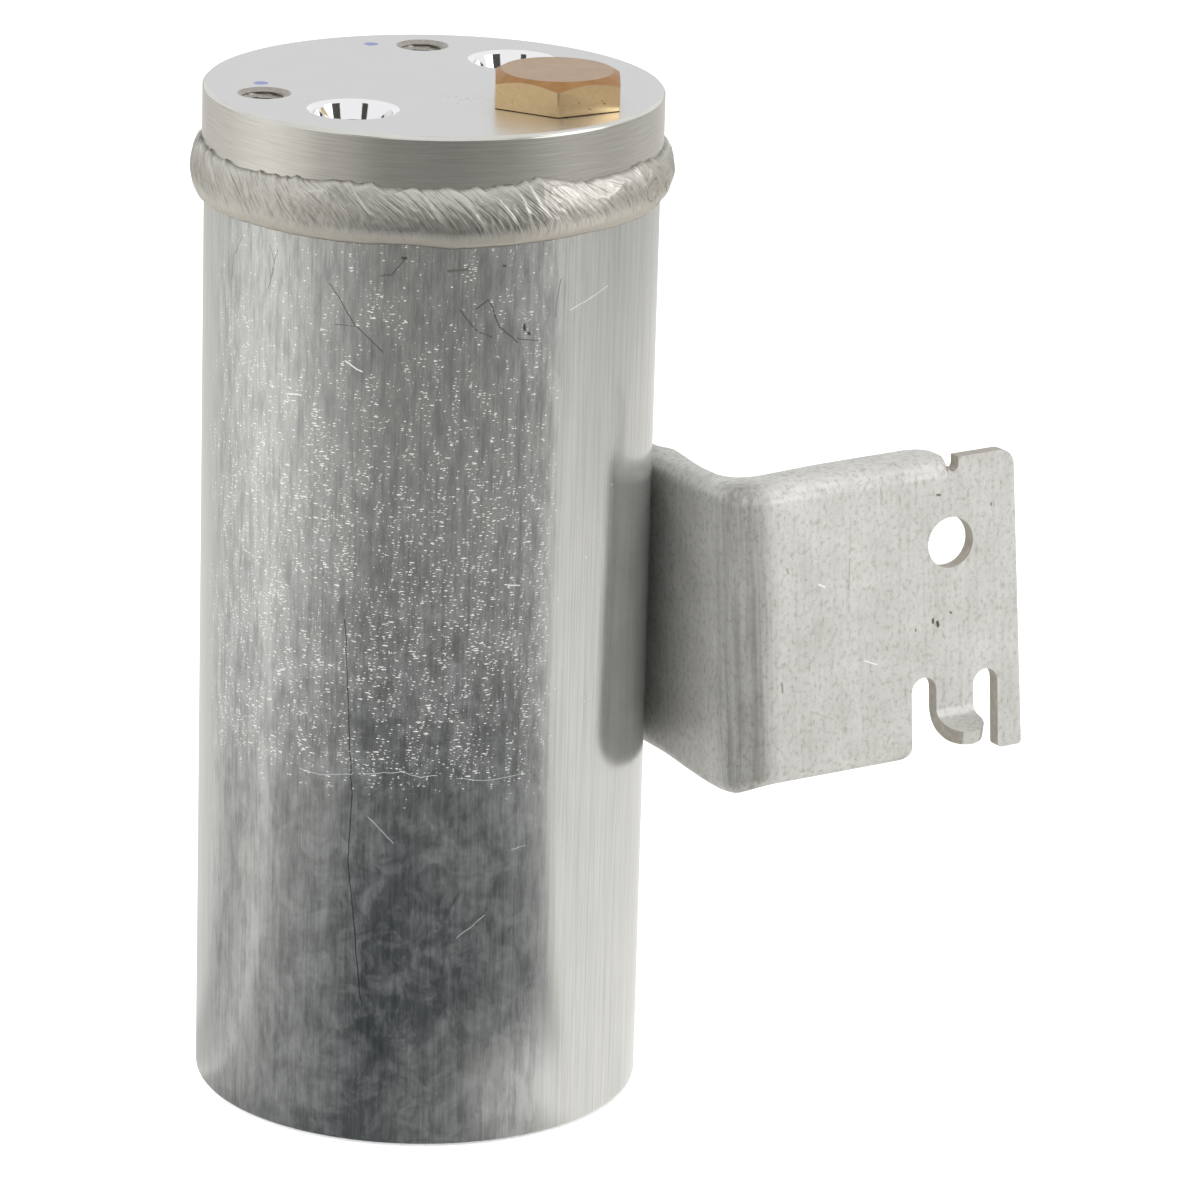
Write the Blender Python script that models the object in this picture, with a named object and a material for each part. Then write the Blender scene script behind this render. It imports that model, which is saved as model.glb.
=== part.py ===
# Filter drier of a vehicle air-conditioning circuit.
# The can stands on its flat bottom at the origin, +Z up. Lengths are metres.
# Azimuths are degrees round the can's axis, from +X towards +Y.

import math

import bmesh
import bpy
from mathutils import Matrix, Vector

MM = 0.001

# Fits
rest_gap = 0.3 * MM
cut_margin = 2.0 * MM

# Can
can_diameter = 60.0 * MM
can_wall = 2.5 * MM
can_height = 126.7 * MM
can_bottom_thickness = 4.0 * MM
can_bottom_edge_radius = 1.0 * MM
can_inner_corner_radius = 1.5 * MM
weld_groove_chamfer = 1.0 * MM

# Head
head_diameter = 60.6 * MM
head_height = 10.5 * MM
head_edge_chamfer = 0.35 * MM
spigot_length = 6.0 * MM
spigot_lead_in = 0.6 * MM

# Ports, tapped holes and plug, placed in a pattern turned about the can's axis.
# The pattern's first direction runs from the inlet to the outlet port.
pattern_azimuth = 56.5
port_offset = 18.75 * MM
tapped_hole_offset = (18.4 * MM, 14.2 * MM)
plug_offset = (1.2 * MM, -18.3 * MM)
port_mouth_diameter = 12.0 * MM
port_lip_diameter = 10.3 * MM
port_lip_depth = 0.35 * MM
port_bore_diameter = 9.0 * MM
port_taper_depth = 2.4 * MM
port_bore_depth = 5.5 * MM
port_passage_diameter = 6.4 * MM
thread_minor_diameter = 5.0 * MM
thread_depth = 12.0 * MM
countersink_diameter = 7.0 * MM
drill_point_depth = 1.3 * MM

# Plug
plug_across_flats = 16.1 * MM
plug_head_height = 4.1 * MM
plug_seat_gap = 0.25 * MM
plug_chamfer_diameter = 14.6 * MM
plug_chamfer_angle = 30.0
plug_shank_diameter = 11.6 * MM
plug_shank_length = 12.0 * MM
plug_shank_lead_in = 0.8 * MM
seal_section_diameter = 1.3 * MM

# Head weld bead
bead_lower_reach = 3.6 * MM
bead_upper_reach = 4.0 * MM
bead_toe_thickness = 0.2 * MM
bead_crown = 1.75 * MM
bead_fullness = 0.5
bead_sag = 0.85
bead_root_depth = 0.5 * MM
bead_lump_azimuth = -22.0
bead_lump_spread = 9.0
bead_lump_swell = 0.25
# How far the bead's edges stray up or down round the joint, in millimetres at each azimuth
bead_stray_azimuths = (-180, -140, -113, -95, -84, -72, -63, -50, -30, -8, 25, 70, 120, 180)
bead_low_strays = (-0.7, -0.3, -0.3, 0.0, -0.4, -0.2, 0.0, 0.2, 0.3, 1.1, 0.6, 0.0, -0.4, -0.7)
bead_high_strays = (-0.7, -0.7, 0.2, 0.0, 0.0, 0.3, 1.0, -0.2, 0.0, -0.6, -0.4, 0.0, -0.3, -0.7)
ripple_count = 44
ripple_depth = 0.25 * MM
ripple_slant = 1.5
stations_per_ripple = 3

# Bracket, one sheet of one thickness
sheet_thickness = 2.0 * MM
bracket_azimuth = 27.1
bracket_tilt = -3.26
tilt_axis_lead = 35.0
bracket_middle_height = 62.0 * MM
bracket_lower_edge = 42.6 * MM
bracket_upper_edge = 84.3 * MM
leg_length = 32.3 * MM
plate_length = 43.9 * MM
plate_end_slant = 0.9 * MM
bend_radius = 5.0 * MM
flange_bend_radius = 2.6 * MM
leg_flange_width = 2.8 * MM
leg_flange_crest = 4.1 * MM
leg_flange_crest_station = 8.0 * MM
leg_flange_rise = 4.0 * MM
leg_flange_fall = 12.0 * MM
plate_flange_root = 6.1 * MM
plate_flange_width = 7.0 * MM
lower_flange_width = 4.4 * MM
flange_growth_length = 14.0 * MM
flange_fillet_leg = 4.4 * MM
flange_fillet_plate = 4.7 * MM
corner_drop = 1.7 * MM
corner_drop_station = 24.0 * MM
corner_drop_fall = 12.0 * MM
flange_end_radius = 2.8 * MM
foot_arc_length = 38.0 * MM
foot_seat_blend = 12.0 * MM

# Features of the bracket's plate, measured back from its free end
slot_width = 3.85 * MM
slot_height = 11.75 * MM
outer_slot_height = 11.5 * MM
tine_width = 3.7 * MM
tongue_width = 5.8 * MM
tongue_bend_height = 7.05 * MM
tongue_bend_inner_radius = 1.4 * MM
tongue_angle = 74.0
tongue_reach = 3.9 * MM
tongue_root_overlap = 1.0 * MM
notch_width = 1.6 * MM
notch_depth = 1.9 * MM
tab_length = 9.6 * MM
tab_corner_radius = 2.2 * MM
tine_corner_radius = 0.6 * MM
plate_corner_radius = 2.0 * MM
bolt_hole_diameter = 7.0 * MM
bolt_hole_from_end = 10.9 * MM
bolt_hole_from_top = 11.7 * MM

# Fillet beads of the bracket's foot
foot_bead_radius = 1.3 * MM
foot_bead_margin = 4.0 * MM
foot_bead_ripple = 0.08
foot_bead_pitch = 2.0 * MM

# Filter stack inside the can
plate_stand_height = 12.0 * MM
plate_stand_wall = 1.5 * MM
plate_stand_ledge = 3.0 * MM
plate_stand_lip = 0.7 * MM
perforated_thickness = 1.5 * MM
perforation_diameter = 3.2 * MM
perforation_ring_radii = (8.0 * MM, 22.8 * MM)
perforation_ring_counts = (6, 14)
lower_pad_thickness = 6.0 * MM
desiccant_height = 60.0 * MM
upper_pad_thickness = 6.0 * MM
tube_diameter = 9.5 * MM
tube_wall = 1.2 * MM
tube_socket_depth = 6.0 * MM
strainer_height = 9.0 * MM
strainer_wall = 0.8 * MM
strainer_tube_overlap = 4.0 * MM
strainer_window_diameter = 2.0 * MM
strainer_window_count = 6
spring_wire_diameter = 2.0 * MM
spring_mean_diameter = 22.0 * MM
spring_turns = 5.0
spring_closed_pitch = 2.4 * MM
spring_seat_thickness = 1.2 * MM
spring_seat_margin = 2.5 * MM

# Facets
can_facets = 72
port_facets = 32
small_hole_facets = 20
perforation_facets = 6
tube_facets = 24
stack_facets = 48
spring_facets = 14
arc_facets = 3
bend_facets = 7
foot_facets = 14
leg_facets = 7
foot_bead_stations = 30
foot_bead_facets = 7

can_radius = can_diameter / 2
can_bore_radius = can_radius - can_wall
head_radius = head_diameter / 2
head_seat_height = can_height + rest_gap
head_top_height = head_seat_height + head_height
spigot_radius = can_bore_radius - rest_gap
spigot_bottom_height = head_seat_height - spigot_length
stack_radius = can_bore_radius - rest_gap


def clear_scene():
    for scene_object in list(bpy.data.objects):
        bpy.data.objects.remove(scene_object, do_unlink=True)


def new_material(name, colour, roughness, metallic):
    material = bpy.data.materials.new(name)
    material.use_nodes = True
    shader = material.node_tree.nodes["Principled BSDF"]
    shader.inputs["Base Color"].default_value = (*colour, 1.0)
    shader.inputs["Roughness"].default_value = roughness
    shader.inputs["Metallic"].default_value = metallic
    return material


def new_object(name, bm, material, sharp_angle=35.0):
    bmesh.ops.remove_doubles(bm, verts=bm.verts, dist=0.001 * MM)
    bmesh.ops.recalc_face_normals(bm, faces=bm.faces)
    mesh = bpy.data.meshes.new(name)
    bm.to_mesh(mesh)
    bm.free()
    mesh.shade_smooth()
    mesh.set_sharp_from_angle(angle=math.radians(sharp_angle))
    made = bpy.data.objects.new(name, mesh)
    bpy.context.collection.objects.link(made)
    if material:
        made.data.materials.append(material)
    return made


def as_tool(tool):
    tool.hide_render = True
    tool.display_type = "WIRE"
    return tool


def add_boolean(target, tool, operation):
    modifier = target.modifiers.new(operation.title(), "BOOLEAN")
    modifier.operation = operation
    modifier.solver = "EXACT"
    modifier.object = as_tool(tool)


def cut(target, tool):
    add_boolean(target, tool, "DIFFERENCE")


def unite(target, tool):
    add_boolean(target, tool, "UNION")


def arc_points(centre, radius, start, end, count):
    steps = [start + (end - start) * i / count for i in range(count + 1)]
    return [
        (
            centre[0] + radius * math.cos(math.radians(a)),
            centre[1] + radius * math.sin(math.radians(a)),
        )
        for a in steps
    ]


# A closed profile of (radius, height) points turned about a vertical line.
def revolve(profile, facets, centre=(0.0, 0.0)):
    bm = bmesh.new()
    verts = [bm.verts.new((centre[0] + r, centre[1], z)) for r, z in profile]
    edges = []
    for i, (radius, height) in enumerate(profile):
        if radius > 0.0 or profile[i - 1][0] > 0.0:
            edges.append(bm.edges.new((verts[i - 1], verts[i])))
    bmesh.ops.spin(
        bm,
        geom=verts + edges,
        cent=(*centre, 0.0),
        axis=(0.0, 0.0, 1.0),
        angle=math.tau,
        steps=facets,
        use_merge=True,
    )
    return bm


# A skin over rings of equal length; closed ends, or joined into a loop.
def skin_rings(rings, loop=False):
    bm = bmesh.new()
    rows = [[bm.verts.new(point) for point in ring] for ring in rings]
    size = len(rows[0])
    last = len(rows) if loop else len(rows) - 1
    for i in range(last):
        here = rows[i]
        there = rows[(i + 1) % len(rows)]
        for j in range(size):
            k = (j + 1) % size
            bm.faces.new((here[j], here[k], there[k], there[j]))
    if not loop:
        bm.faces.new(rows[0][::-1])
        bm.faces.new(rows[-1])
    return bm


def drill(name, radius, low, high, centre, facets):
    profile = [(0.0, low), (radius, low), (radius, high), (0.0, high)]
    return new_object(name, revolve(profile, facets, centre), None)


def pattern_point(offset):
    angle = math.radians(pattern_azimuth)
    first, second = offset
    return (
        first * math.cos(angle) - second * math.sin(angle),
        first * math.sin(angle) + second * math.cos(angle),
    )


inlet_centre = pattern_point((-port_offset, 0.0))
outlet_centre = pattern_point((port_offset, 0.0))
plug_centre = pattern_point(plug_offset)


def make_can(material):
    rim = can_height
    inner_bottom = can_bottom_thickness
    edge = can_bottom_edge_radius
    corner = can_inner_corner_radius
    profile = [(0.0, 0.0)]
    profile += arc_points((can_radius - edge, edge), edge, -90, 0, arc_facets)
    profile += [
        (can_radius, rim - weld_groove_chamfer),
        (can_radius - weld_groove_chamfer, rim),
        (can_bore_radius, rim),
    ]
    inner_centre = (can_bore_radius - corner, inner_bottom + corner)
    profile += arc_points(inner_centre, corner, 0, -90, arc_facets)
    profile.append((0.0, inner_bottom))
    return new_object("can_body", revolve(profile, can_facets), material)


def make_head(material):
    top = head_top_height
    seat = head_seat_height
    land = can_radius - weld_groove_chamfer
    profile = [
        (0.0, spigot_bottom_height),
        (spigot_radius - spigot_lead_in, spigot_bottom_height),
        (spigot_radius, spigot_bottom_height + spigot_lead_in),
        (spigot_radius, seat),
        (land, seat),
        (head_radius, seat + head_radius - land),
        (head_radius, top - head_edge_chamfer),
        (head_radius - head_edge_chamfer, top),
        (0.0, top),
    ]
    head = new_object("head", revolve(profile, can_facets), material)
    for name, centre in (("inlet_tool", inlet_centre), ("outlet_tool", outlet_centre)):
        cut(head, make_port_tool(name, centre))
    socket_top = spigot_bottom_height + tube_socket_depth
    socket_radius = tube_diameter / 2 + rest_gap
    socket_low = spigot_bottom_height - cut_margin
    cut(head, drill("tube_socket_tool", socket_radius, socket_low, socket_top, outlet_centre, port_facets))
    for side in (-1, 1):
        offset = (side * tapped_hole_offset[0], tapped_hole_offset[1])
        cut(head, make_tapped_hole_tool("tapped_hole_tool", pattern_point(offset)))
    cut(head, make_plug_bore_tool())
    return head


def make_port_tool(name, centre):
    top = head_top_height
    mouth = port_mouth_diameter / 2
    lip = port_lip_diameter / 2
    bore = port_bore_diameter / 2
    passage = port_passage_diameter / 2
    low = spigot_bottom_height - cut_margin
    profile = [
        (0.0, low),
        (passage, low),
        (passage, top - port_bore_depth),
        (bore, top - port_bore_depth),
        (bore, top - port_taper_depth),
        (lip, top - port_lip_depth),
        (mouth, top),
        (mouth, top + cut_margin),
        (0.0, top + cut_margin),
    ]
    return new_object(name, revolve(profile, port_facets, centre), None)


def make_tapped_hole_tool(name, centre):
    top = head_top_height
    minor = thread_minor_diameter / 2
    sink = countersink_diameter / 2
    profile = [
        (0.0, top - thread_depth - drill_point_depth),
        (minor, top - thread_depth),
        (minor, top - (sink - minor)),
        (sink, top),
        (sink, top + cut_margin),
        (0.0, top + cut_margin),
    ]
    return new_object(name, revolve(profile, small_hole_facets, centre), None)


seal_pocket_depth = seal_section_diameter + 2 * rest_gap
seal_inner_radius = plug_shank_diameter / 2 + rest_gap
seal_pocket_radius = seal_inner_radius + seal_section_diameter + rest_gap


def make_plug_bore_tool():
    top = head_top_height
    bore = plug_shank_diameter / 2 + rest_gap
    low = spigot_bottom_height - cut_margin
    profile = [
        (0.0, low),
        (bore, low),
        (bore, top - seal_pocket_depth),
        (seal_pocket_radius, top - seal_pocket_depth),
        (seal_pocket_radius, top + cut_margin),
        (0.0, top + cut_margin),
    ]
    return new_object("plug_bore_tool", revolve(profile, port_facets, plug_centre), None)


# The hexagon is the bar's section cut down by a cone, so each flat ends in a curve.
def make_plug(material):
    base = head_top_height + plug_seat_gap
    top = base + plug_head_height
    corner_radius = plug_across_flats / math.sqrt(3)
    bm = bmesh.new()
    bmesh.ops.create_cone(
        bm,
        cap_ends=True,
        segments=6,
        radius1=corner_radius,
        radius2=corner_radius,
        depth=plug_head_height,
    )
    bmesh.ops.translate(bm, verts=bm.verts, vec=(*plug_centre, (base + top) / 2))
    plug = new_object("hex_plug", bm, material, 20.0)
    slope = math.tan(math.radians(plug_chamfer_angle))
    chamfer_radius = plug_chamfer_diameter / 2
    reach = corner_radius + cut_margin
    profile = [
        (chamfer_radius, top),
        (reach, top - (reach - chamfer_radius) * slope),
        (reach, top + cut_margin),
        (chamfer_radius, top + cut_margin),
    ]
    cut(plug, new_object("plug_chamfer_tool", revolve(profile, 48, plug_centre), None))
    shank = plug_shank_diameter / 2
    shank_bottom = base - plug_shank_length
    shank_profile = [
        (0.0, shank_bottom),
        (shank - plug_shank_lead_in, shank_bottom),
        (shank, shank_bottom + plug_shank_lead_in),
        (shank, base + plug_head_height / 2),
        (0.0, base + plug_head_height / 2),
    ]
    unite(plug, new_object("plug_shank_tool", revolve(shank_profile, port_facets, plug_centre), None))
    return plug


def make_plug_seal(material):
    section = seal_section_diameter / 2
    middle = (seal_inner_radius + section, head_top_height - seal_pocket_depth + rest_gap + section)
    profile = arc_points(middle, section, 0, 360, 6)[:-1]
    return new_object("plug_seal", revolve(profile, tube_facets, plug_centre), material)


bead_head_side = head_radius + rest_gap
bead_can_side = can_radius + rest_gap
bead_root = can_radius - bead_root_depth
bead_middle_height = can_height + rest_gap / 2
bead_low = bead_middle_height - bead_lower_reach
bead_high = bead_middle_height + bead_upper_reach
crown_shares = (0.0, 0.1, 0.25, 0.42, 0.6, 0.77, 0.91, 1.0)


def stray(azimuth, strays):
    turn = (math.degrees(azimuth) + 180.0) % 360.0 - 180.0
    after = next(i for i, mark in enumerate(bead_stray_azimuths) if mark > turn)
    start, end = bead_stray_azimuths[after - 1], bead_stray_azimuths[after]
    share = smooth_step((turn - start) / (end - start))
    return (strays[after - 1] + (strays[after] - strays[after - 1]) * share) * MM


# One section of the bead: over the crown from the lower toe to the upper one, where
# slanting ripples overlap like scales, then back through the groove's root.
def bead_station(azimuth, swell):
    low = bead_low + stray(azimuth, bead_low_strays)
    high = bead_high + stray(azimuth, bead_high_strays)
    ring = []
    for share in crown_shares:
        height = low + (high - low) * share
        inside = bead_can_side + (bead_head_side - bead_can_side) * share
        bulge = math.sin(math.pi * share**bead_sag) ** bead_fullness
        phase = azimuth * ripple_count / math.tau + ripple_slant * share
        wave = phase - math.floor(phase)
        crown = (bead_crown - bead_toe_thickness) * swell - ripple_depth * wave
        ring.append((inside + bead_toe_thickness + crown * bulge, height))
    root_reach = bead_head_side - bead_root
    ring.append((bead_head_side, high))
    ring.append((bead_head_side, bead_middle_height + root_reach + rest_gap))
    ring.append((bead_root, bead_middle_height))
    ring.append((bead_can_side, bead_middle_height - root_reach))
    ring.append((bead_can_side, low))
    return [(r * math.cos(azimuth), r * math.sin(azimuth), z) for r, z in ring]


# The bead waves a little round the joint, and swells where it was started and ended.
def make_head_weld(material):
    count = ripple_count * stations_per_ripple
    rings = []
    for i in range(count):
        azimuth = math.tau * i / count
        from_lump = math.degrees(azimuth) - bead_lump_azimuth
        from_lump = (from_lump + 180.0) % 360.0 - 180.0
        swell = 1.0 + 0.05 * math.sin(3 * azimuth + 0.7) + 0.03 * math.sin(7 * azimuth)
        swell += bead_lump_swell * math.exp(-((from_lump / bead_lump_spread) ** 2))
        rings.append(bead_station(azimuth, swell))
    return new_object("head_weld", skin_rings(rings, loop=True), material, 50.0)


# The bracket's own frame: the plate's outer face lies on y = 0 and runs along +X, the
# leg's outer face lies on x = 0 and runs along +Y to the can, and depth goes inwards.
tab_start = plate_length - tab_length
upper_flange_end = tab_start - notch_width
tongue_start = plate_length - tine_width - slot_width - tongue_width
lower_flange_end = tongue_start - slot_width
sheet_overlap = 1.5 * MM
notch_floor_drop = 0.3 * MM
foot_radius = can_radius + rest_gap
can_axis_in_bracket = Vector((-foot_radius, leg_length, 0.0))


def bracket_matrix():
    turn = Matrix.Rotation(math.radians(bracket_azimuth), 4, "Z")
    shift = Matrix.Translation(-can_axis_in_bracket)
    lean_azimuth = math.radians(bracket_azimuth + tilt_axis_lead)
    lean_axis = Vector((math.cos(lean_azimuth), math.sin(lean_azimuth), 0.0))
    lean = Matrix.Rotation(math.radians(bracket_tilt), 4, lean_axis)
    middle = Matrix.Translation((0.0, 0.0, bracket_middle_height))
    return middle @ lean @ middle.inverted() @ turn @ shift


# Stations are lengths along the outer face: foot below 0, then leg, bend and plate.
bend_start = leg_length - bend_radius
bend_length = bend_radius * math.pi / 2
plate_start = bend_start + bend_length


def plate_station(x):
    return plate_start + x - bend_radius


# The plan position and inward direction of the outer face at a station.
def bracket_path(station):
    if station < 0.0:
        angle = -station / foot_radius
        normal = Vector((math.cos(angle), math.sin(angle), 0.0))
        return can_axis_in_bracket + normal * foot_radius, normal
    if station < bend_start:
        return Vector((0.0, leg_length - station, 0.0)), Vector((1.0, 0.0, 0.0))
    if station < plate_start:
        angle = (station - bend_start) / bend_radius
        normal = Vector((math.cos(angle), math.sin(angle), 0.0))
        centre = Vector((bend_radius, bend_radius, 0.0))
        return centre - normal * bend_radius, normal
    return Vector((bend_radius + station - plate_start, 0.0, 0.0)), Vector((0.0, 1.0, 0.0))


def smooth_step(value):
    share = min(max(value, 0.0), 1.0)
    return share * share * (3.0 - 2.0 * share)


# A point of the sheet. The foot is dressed to the can: near it, each point keeps the
# distance from the can's axis that it has before the bracket leans.
def bracket_point(station, depth, height):
    place, normal = bracket_path(station)
    point = place + normal * depth
    point.z = height
    seated = 1.0 - smooth_step(station / foot_seat_blend)
    if seated == 0.0:
        return point
    matrix = bracket_matrix()
    wanted = (point - can_axis_in_bracket).to_2d().length
    leaned = matrix @ point
    found = leaned.to_2d().length
    scale = 1.0 + seated * (wanted / found - 1.0)
    seated_point = Vector((leaned.x * scale, leaned.y * scale, leaned.z))
    return matrix.inverted() @ seated_point


# The upper flange stands widest on the leg a little off the can, and again on the plate.
def upper_flange_width(station):
    if station < bend_start:
        rise = smooth_step((station - leg_flange_crest_station) / leg_flange_rise + 1.0)
        fall = smooth_step((station - leg_flange_crest_station) / leg_flange_fall)
        return leg_flange_width + (leg_flange_crest - leg_flange_width) * rise * (1.0 - fall)
    growth = (station - plate_start) / flange_growth_length
    widest = plate_flange_root + (plate_flange_width - plate_flange_root) * smooth_step(growth)
    return rounded_end(widest, plate_station(upper_flange_end) - station)


# A point of the upper flange's edge. Round the bend the edge follows a wide fillet.
fillet_leg_station = leg_length - plate_flange_root - flange_fillet_leg
fillet_plate_station = plate_station(leg_flange_width + flange_fillet_plate)


def upper_edge_point(station, height):
    if not fillet_leg_station < station < fillet_plate_station:
        return bracket_point(station, upper_flange_width(station), height)
    share = (station - fillet_leg_station) / (fillet_plate_station - fillet_leg_station)
    start = Vector((leg_flange_width, plate_flange_root + flange_fillet_leg))
    corner = Vector((leg_flange_width, plate_flange_root))
    end = Vector((leg_flange_width + flange_fillet_plate, plate_flange_root))
    point = start * (1.0 - share) ** 2 + corner * 2 * share * (1.0 - share) + end * share**2
    return Vector((*point, height))


# The lower edge hangs down towards the bend, where the flange is drawn round the corner.
def lower_edge_height(station):
    rise = smooth_step(station / corner_drop_station)
    fall = smooth_step((station - corner_drop_station) / corner_drop_fall)
    return bracket_lower_edge - corner_drop * rise * (1.0 - fall)


def lower_flange_width_at(station):
    end = plate_station(lower_flange_end)
    growth = (station - bend_start) / bend_length
    widest = leg_flange_width + (lower_flange_width - leg_flange_width) * smooth_step(growth)
    return rounded_end(widest, end - station)


def rounded_end(width, distance):
    narrow = flange_bend_radius + 0.2 * MM
    if distance >= flange_end_radius:
        return max(width, narrow)
    inward = flange_end_radius - distance
    drop = flange_end_radius - math.sqrt(max(flange_end_radius**2 - inward**2, 0.0))
    return max(width - drop, narrow)


# A section of the sheet: round the outer face from the upper flange's edge to the lower
# one, then back along the inner face.
def channel_section(station):
    outer = flange_bend_radius
    inner = outer - sheet_thickness
    top = bracket_upper_edge
    low = lower_edge_height(station)
    width = lower_flange_width_at(station)
    points = arc_points((outer, top - outer), outer, 90, 180, arc_facets)
    points += arc_points((outer, low + outer), outer, 180, 270, arc_facets)
    points += [(width, low), (width, low + sheet_thickness)]
    points += arc_points((outer, low + outer), inner, 270, 180, 2)
    points += arc_points((outer, top - outer), inner, 180, 90, 2)
    places = [bracket_point(station, depth, height) for depth, height in points]
    last = upper_edge_point(station, top - sheet_thickness)
    return [upper_edge_point(station, top)] + places + [last]


def spread(start, end, count):
    return [start + (end - start) * i / count for i in range(count + 1)]


def loft_sheet(stations, section):
    return skin_rings([section(station) for station in stations])


# Stations crowded towards a flange's rounded end.
def end_stations(end):
    shares = [math.sin(math.pi / 2 * i / 3) for i in range(4)]
    return [end - flange_end_radius * (1.0 - share) for share in shares]


# The flat outline of the plate's end, as (x, height) points, with the slots, the
# tongue's root, the notch and the tab in it. The tongue's free part is added bent.
def plate_outline():
    low = bracket_lower_edge
    top = bracket_upper_edge
    overlap = lower_flange_end - sheet_overlap
    flat_low = low + flange_bend_radius
    flat_high = top - flange_bend_radius - notch_floor_drop
    slot_radius = slot_width / 2
    slot_middle = low + slot_height - slot_radius
    outer_slot_middle = low + outer_slot_height - slot_radius
    tongue_low = low + tongue_bend_height
    top_length = plate_length - plate_end_slant
    points = [(overlap, flat_high), (overlap, flat_low), (lower_flange_end, flat_low)]
    points += arc_points((lower_flange_end + slot_radius, slot_middle), slot_radius, 180, 0, 8)
    points += [(tongue_start, tongue_low), (tongue_start + tongue_width, tongue_low)]
    far_middle = tongue_start + tongue_width + slot_radius
    points += arc_points((far_middle, outer_slot_middle), slot_radius, 180, 0, 8)
    r = tine_corner_radius
    points += arc_points((plate_length - tine_width + r, low + r), r, 180, 270, 3)
    points += arc_points((plate_length - r, low + r), r, 270, 360, 3)
    r = tab_corner_radius
    points += arc_points((top_length - r, top - r), r, 0, 90, 5)
    r = notch_width / 2
    points.append((tab_start, top))
    points += arc_points((tab_start - r, top - notch_depth + r), r, 0, -180, 6)
    points.append((upper_flange_end, flat_high))
    return points


# Cuts the lower flange off past its end and rounds the corner left by the first slot.
def make_lower_end_tool():
    low = bracket_lower_edge
    middle = (low + bracket_upper_edge) / 2
    r = plate_corner_radius
    outline = [(lower_flange_end - r, low - cut_margin)]
    outline += arc_points((lower_flange_end - r, low + r), r, -90, 0, 5)
    outline += [
        (lower_flange_end, middle),
        (plate_length + cut_margin, middle),
        (plate_length + cut_margin, low - cut_margin),
    ]
    tool = extrude_plate(outline, -cut_margin, plate_flange_width + cut_margin)
    return new_object("lower_end_tool", tool, None)


def extrude_plate(outline, near, far):
    bm = bmesh.new()
    verts = [bm.verts.new((x, near, z)) for x, z in outline]
    face = bm.faces.new(verts)
    extruded = bmesh.ops.extrude_face_region(bm, geom=[face])
    moved = [item for item in extruded["geom"] if isinstance(item, bmesh.types.BMVert)]
    bmesh.ops.translate(bm, verts=moved, vec=(0.0, far - near, 0.0))
    return bm


# The tongue bends forwards out of the plate, round an inner radius on its front.
def make_tongue_tool():
    half = tongue_width / 2
    middle = tongue_start + half
    inner = tongue_bend_inner_radius
    outer = inner + sheet_thickness
    centre = (-inner, bracket_lower_edge + tongue_bend_height)
    straight = tongue_reach - half
    stations = [(-tongue_root_overlap, 1.0, 0.0)]
    stations += [(0.0, 1.0, angle) for angle in spread(0.0, tongue_angle, 5)]
    stations.append((straight, 1.0, tongue_angle))
    for angle in spread(15.0, 75.0, 4):
        turn = math.radians(angle)
        stations.append((straight + half * math.sin(turn), math.cos(turn), tongue_angle))
    rings = []
    for along, width_share, angle in stations:
        turn = math.radians(angle)
        ring = []
        for side, reach in ((-1, inner), (1, inner), (1, outer), (-1, outer)):
            x = middle + side * half * width_share
            y = centre[0] + math.cos(turn) * reach - math.sin(turn) * along
            z = centre[1] - math.sin(turn) * reach - math.cos(turn) * along
            ring.append((x, y, z))
        rings.append(ring)
    return new_object("tongue_tool", skin_rings(rings), None)


def make_bracket(material):
    foot = spread(-foot_arc_length, 0.0, foot_facets)
    leg = spread(0.0, fillet_leg_station, leg_facets) + spread(fillet_leg_station, bend_start, 3)[1:]
    bend = spread(bend_start, plate_start, bend_facets)
    growth = [plate_start, fillet_plate_station, plate_start + flange_growth_length]
    ends = end_stations(plate_station(lower_flange_end)) + end_stations(plate_station(upper_flange_end))
    # In order, because on a short plate a flange ends before it has grown to its full width.
    stations = sorted(foot[:-1] + leg[:-1] + bend[:-1] + growth + ends)
    bracket = new_object("bracket", loft_sheet(stations, channel_section), material)
    cut(bracket, make_lower_end_tool())
    unite(bracket, new_object("plate_tool", extrude_plate(plate_outline(), 0.0, sheet_thickness), None))
    unite(bracket, make_tongue_tool())
    hole_centre = (plate_length - bolt_hole_from_end, bracket_upper_edge - bolt_hole_from_top)
    outline = arc_points(hole_centre, bolt_hole_diameter / 2, 0, 360, port_facets)[:-1]
    hole = extrude_plate(outline, -cut_margin, sheet_thickness + cut_margin)
    cut(bracket, new_object("bolt_hole_tool", hole, None))
    matrix = bracket_matrix()
    for made in [bracket] + [m.object for m in bracket.modifiers]:
        made.matrix_world = matrix
    return bracket


def bead_radius_at(length, distance_to_end):
    wave = length / foot_bead_pitch
    ripple = 1.0 - foot_bead_ripple * (wave - math.floor(wave))
    ends = math.sqrt(min(max(distance_to_end / (2 * foot_bead_radius), 0.12), 1.0))
    return foot_bead_radius * ripple * ends


# A bead in the groove between the can and the rolled edge of the foot.
def make_edge_bead(name, material, side):
    outer = flange_bend_radius
    radius = foot_bead_radius
    touch = outer + radius + rest_gap
    lift = math.sqrt(touch**2 - (outer - radius) ** 2)
    if side > 0:
        height = bracket_upper_edge - outer + lift
    else:
        height = bracket_lower_edge + outer - lift
    start = -foot_arc_length + foot_bead_margin
    end = -foot_bead_margin
    rings = []
    for station in spread(start, end, foot_bead_stations):
        size = bead_radius_at(station - start, min(station - start, end - station))
        points = arc_points((radius, height), size, 0, 360, foot_bead_facets)[:-1]
        rings.append([bracket_point(station, depth, z) for depth, z in points])
    bead = new_object(name, skin_rings(rings), material, 60.0)
    bead.matrix_world = bracket_matrix()
    return bead


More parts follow.
